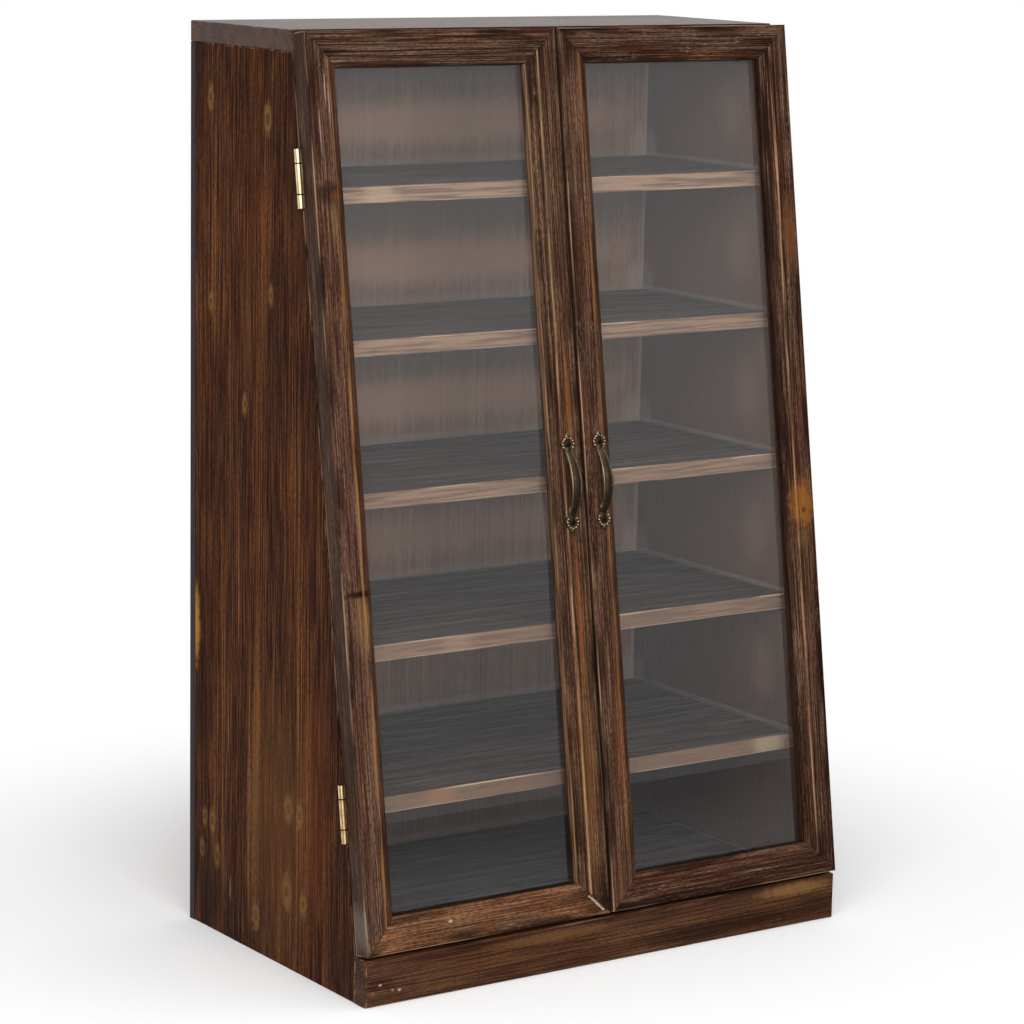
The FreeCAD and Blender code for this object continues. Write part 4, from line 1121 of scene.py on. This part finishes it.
# %% Model the screws
HEAD_RADIUS, HEAD_LEVEL, SHANK_INSET, SHANK_LENGTH = 2.6, 1.3, 1.3, 14  # millimetres
SLOT_LEVEL, SLOT_SIZE = 3.0, (8, 0.8, 1.6)  # millimetres
screws = []
for sign in (1, -1):
    bpy.ops.mesh.primitive_uv_sphere_add(
        segments=32, ring_count=16, radius=HEAD_RADIUS * MM, location=(0, sign * SCREW_OFF, 0)
    )
    head = bpy.context.object
    bpy.ops.object.transform_apply()
    bpy.ops.object.mode_set(mode="EDIT")
    bpy.ops.mesh.select_all(action="SELECT")
    bpy.ops.mesh.bisect(plane_co=(0, 0, 0.2 * MM), plane_no=(0, 0, -1), clear_outer=True, use_fill=True)
    bpy.ops.mesh.select_all(action="SELECT")
    bpy.ops.transform.resize(value=(1, 1, 0.6), center_override=(0, 0, 0))
    bpy.ops.transform.translate(value=(0, 0, HEAD_LEVEL * MM))
    bpy.ops.mesh.select_all(action="DESELECT")
    shape = bmesh.from_edit_mesh(head.data)
    for face in shape.faces:
        face.select = face.normal.z < -0.9
    bpy.ops.mesh.inset(thickness=SHANK_INSET * MM)
    bpy.ops.mesh.extrude_region_move(TRANSFORM_OT_translate={"value": (0, 0, -SHANK_LENGTH * MM)})
    bpy.ops.object.mode_set(mode="OBJECT")
    bpy.ops.mesh.primitive_cube_add(size=1, location=(0, sign * SCREW_OFF, SLOT_LEVEL * MM))
    bar = bpy.context.object
    bar.scale = [size * MM for size in SLOT_SIZE]
    bpy.ops.object.transform_apply()
    slot = head.modifiers.new("slot", "BOOLEAN")
    slot.operation, slot.solver, slot.object = "DIFFERENCE", "EXACT", bar
    bpy.context.view_layer.objects.active = head
    bpy.ops.object.modifier_apply(modifier="slot")
    bpy.data.objects.remove(bar)
    screws.append(head)
select_only(*screws)
bpy.ops.object.join()
left_screws = bpy.context.object
bpy.ops.object.shade_smooth_by_angle(angle=math.radians(35))
print("screws", len(left_screws.data.polygons), "faces")

# %% [markdown]
# ## Antique brass
# Old cast brass is nearly black in its hollows and bright where fingers rub it. The pointiness of the surface tells
# the two apart, so the raised beads and the edges of the strap catch the light and the dish stays dark.

# %% Finish the pulls
HOLLOW, RAISED = 0.505, 0.545  # pointiness
HOLLOW_BRASS, RUBBED_BRASS, PATCH_SIZE = "#57493a", "#cdb78f", 6  # the patches in millimetres
antique, tree = empty_material("antique_brass")
point = add_node(tree, "ShaderNodeNewGeometry").outputs["Pointiness"]
raised = add_node(tree, "ShaderNodeMapRange", {0: point, 1: HOLLOW, 2: RAISED})
noise = add_node(
    tree,
    "ShaderNodeTexNoise",
    {"Vector": add_node(tree, "ShaderNodeTexCoord").outputs["Object"], "Scale": 1 / (PATCH_SIZE * MM), "Detail": 3.0},
)
patchy = add_node(tree, "ShaderNodeMapRange", {0: noise.outputs[0], 1: 0.3, 2: 0.7, 3: -0.1, 4: 0.1})
rubbed = add_node(
    tree, "ShaderNodeMath", {0: raised.outputs[0], 1: patchy.outputs[0]}, operation="ADD", use_clamp=True
)
colour = add_node(
    tree,
    "ShaderNodeMix",
    {0: rubbed.outputs[0], 6: linear(HOLLOW_BRASS), 7: linear(RUBBED_BRASS)},
    data_type="RGBA",
)
rough = add_node(tree, "ShaderNodeMapRange", {0: rubbed.outputs[0], 3: 0.5, 4: 0.28})
metal = add_node(
    tree,
    "ShaderNodeBsdfPrincipled",
    {"Base Color": colour.outputs[2], "Metallic": 1.0, "Roughness": rough.outputs[0]},
)
add_node(tree, "ShaderNodeOutputMaterial", {"Surface": metal.outputs[0]})
left_pull.data.materials.append(antique)
dark_brass = finish_metal("blackened_brass", [], "#3c352e", "#16120e", 1.5, 0.35)
left_screws.data.materials.append(dark_brass)
print("pull materials:", antique.name, dark_brass.name)

# %% [markdown]
# ## Hang the pulls
# Both doors carry the same pull. The second is a copy with a mesh of its own. Each is turned into the plane of the
# doors and moved to the place of the plain pull that it stands for, and then follows its door.

# %% Place the pulls and screws
def copy_of(piece):
    """A copy of a piece, with a mesh of its own."""
    select_only(piece)
    bpy.ops.object.duplicate()
    return bpy.context.object


PULLS = {"left": (left_pull, left_screws), "right": (copy_of(left_pull), copy_of(left_screws))}
for side, pieces in PULLS.items():
    plain = measure_board(side + "_door_handle", RIGHT, UPHILL)
    foot = plain["middle"] + INWARD * plain["half"].z * MM
    for piece, stands_for in zip(pieces, ("_door_handle", "_door_handle_screws")):
        piece.name = side + stands_for.replace("door_handle", "pull")
        piece.matrix_world = Matrix.Translation(foot) @ plain["turn"].to_4x4()
        select_only(piece)
        bpy.ops.object.transform_apply()
        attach(piece, side + "_door")
        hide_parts(side + stands_for)
    print(side, "pull at", [round(value / MM, 1) for value in foot])

# %% [markdown]

# %% Finish
print("scene built")
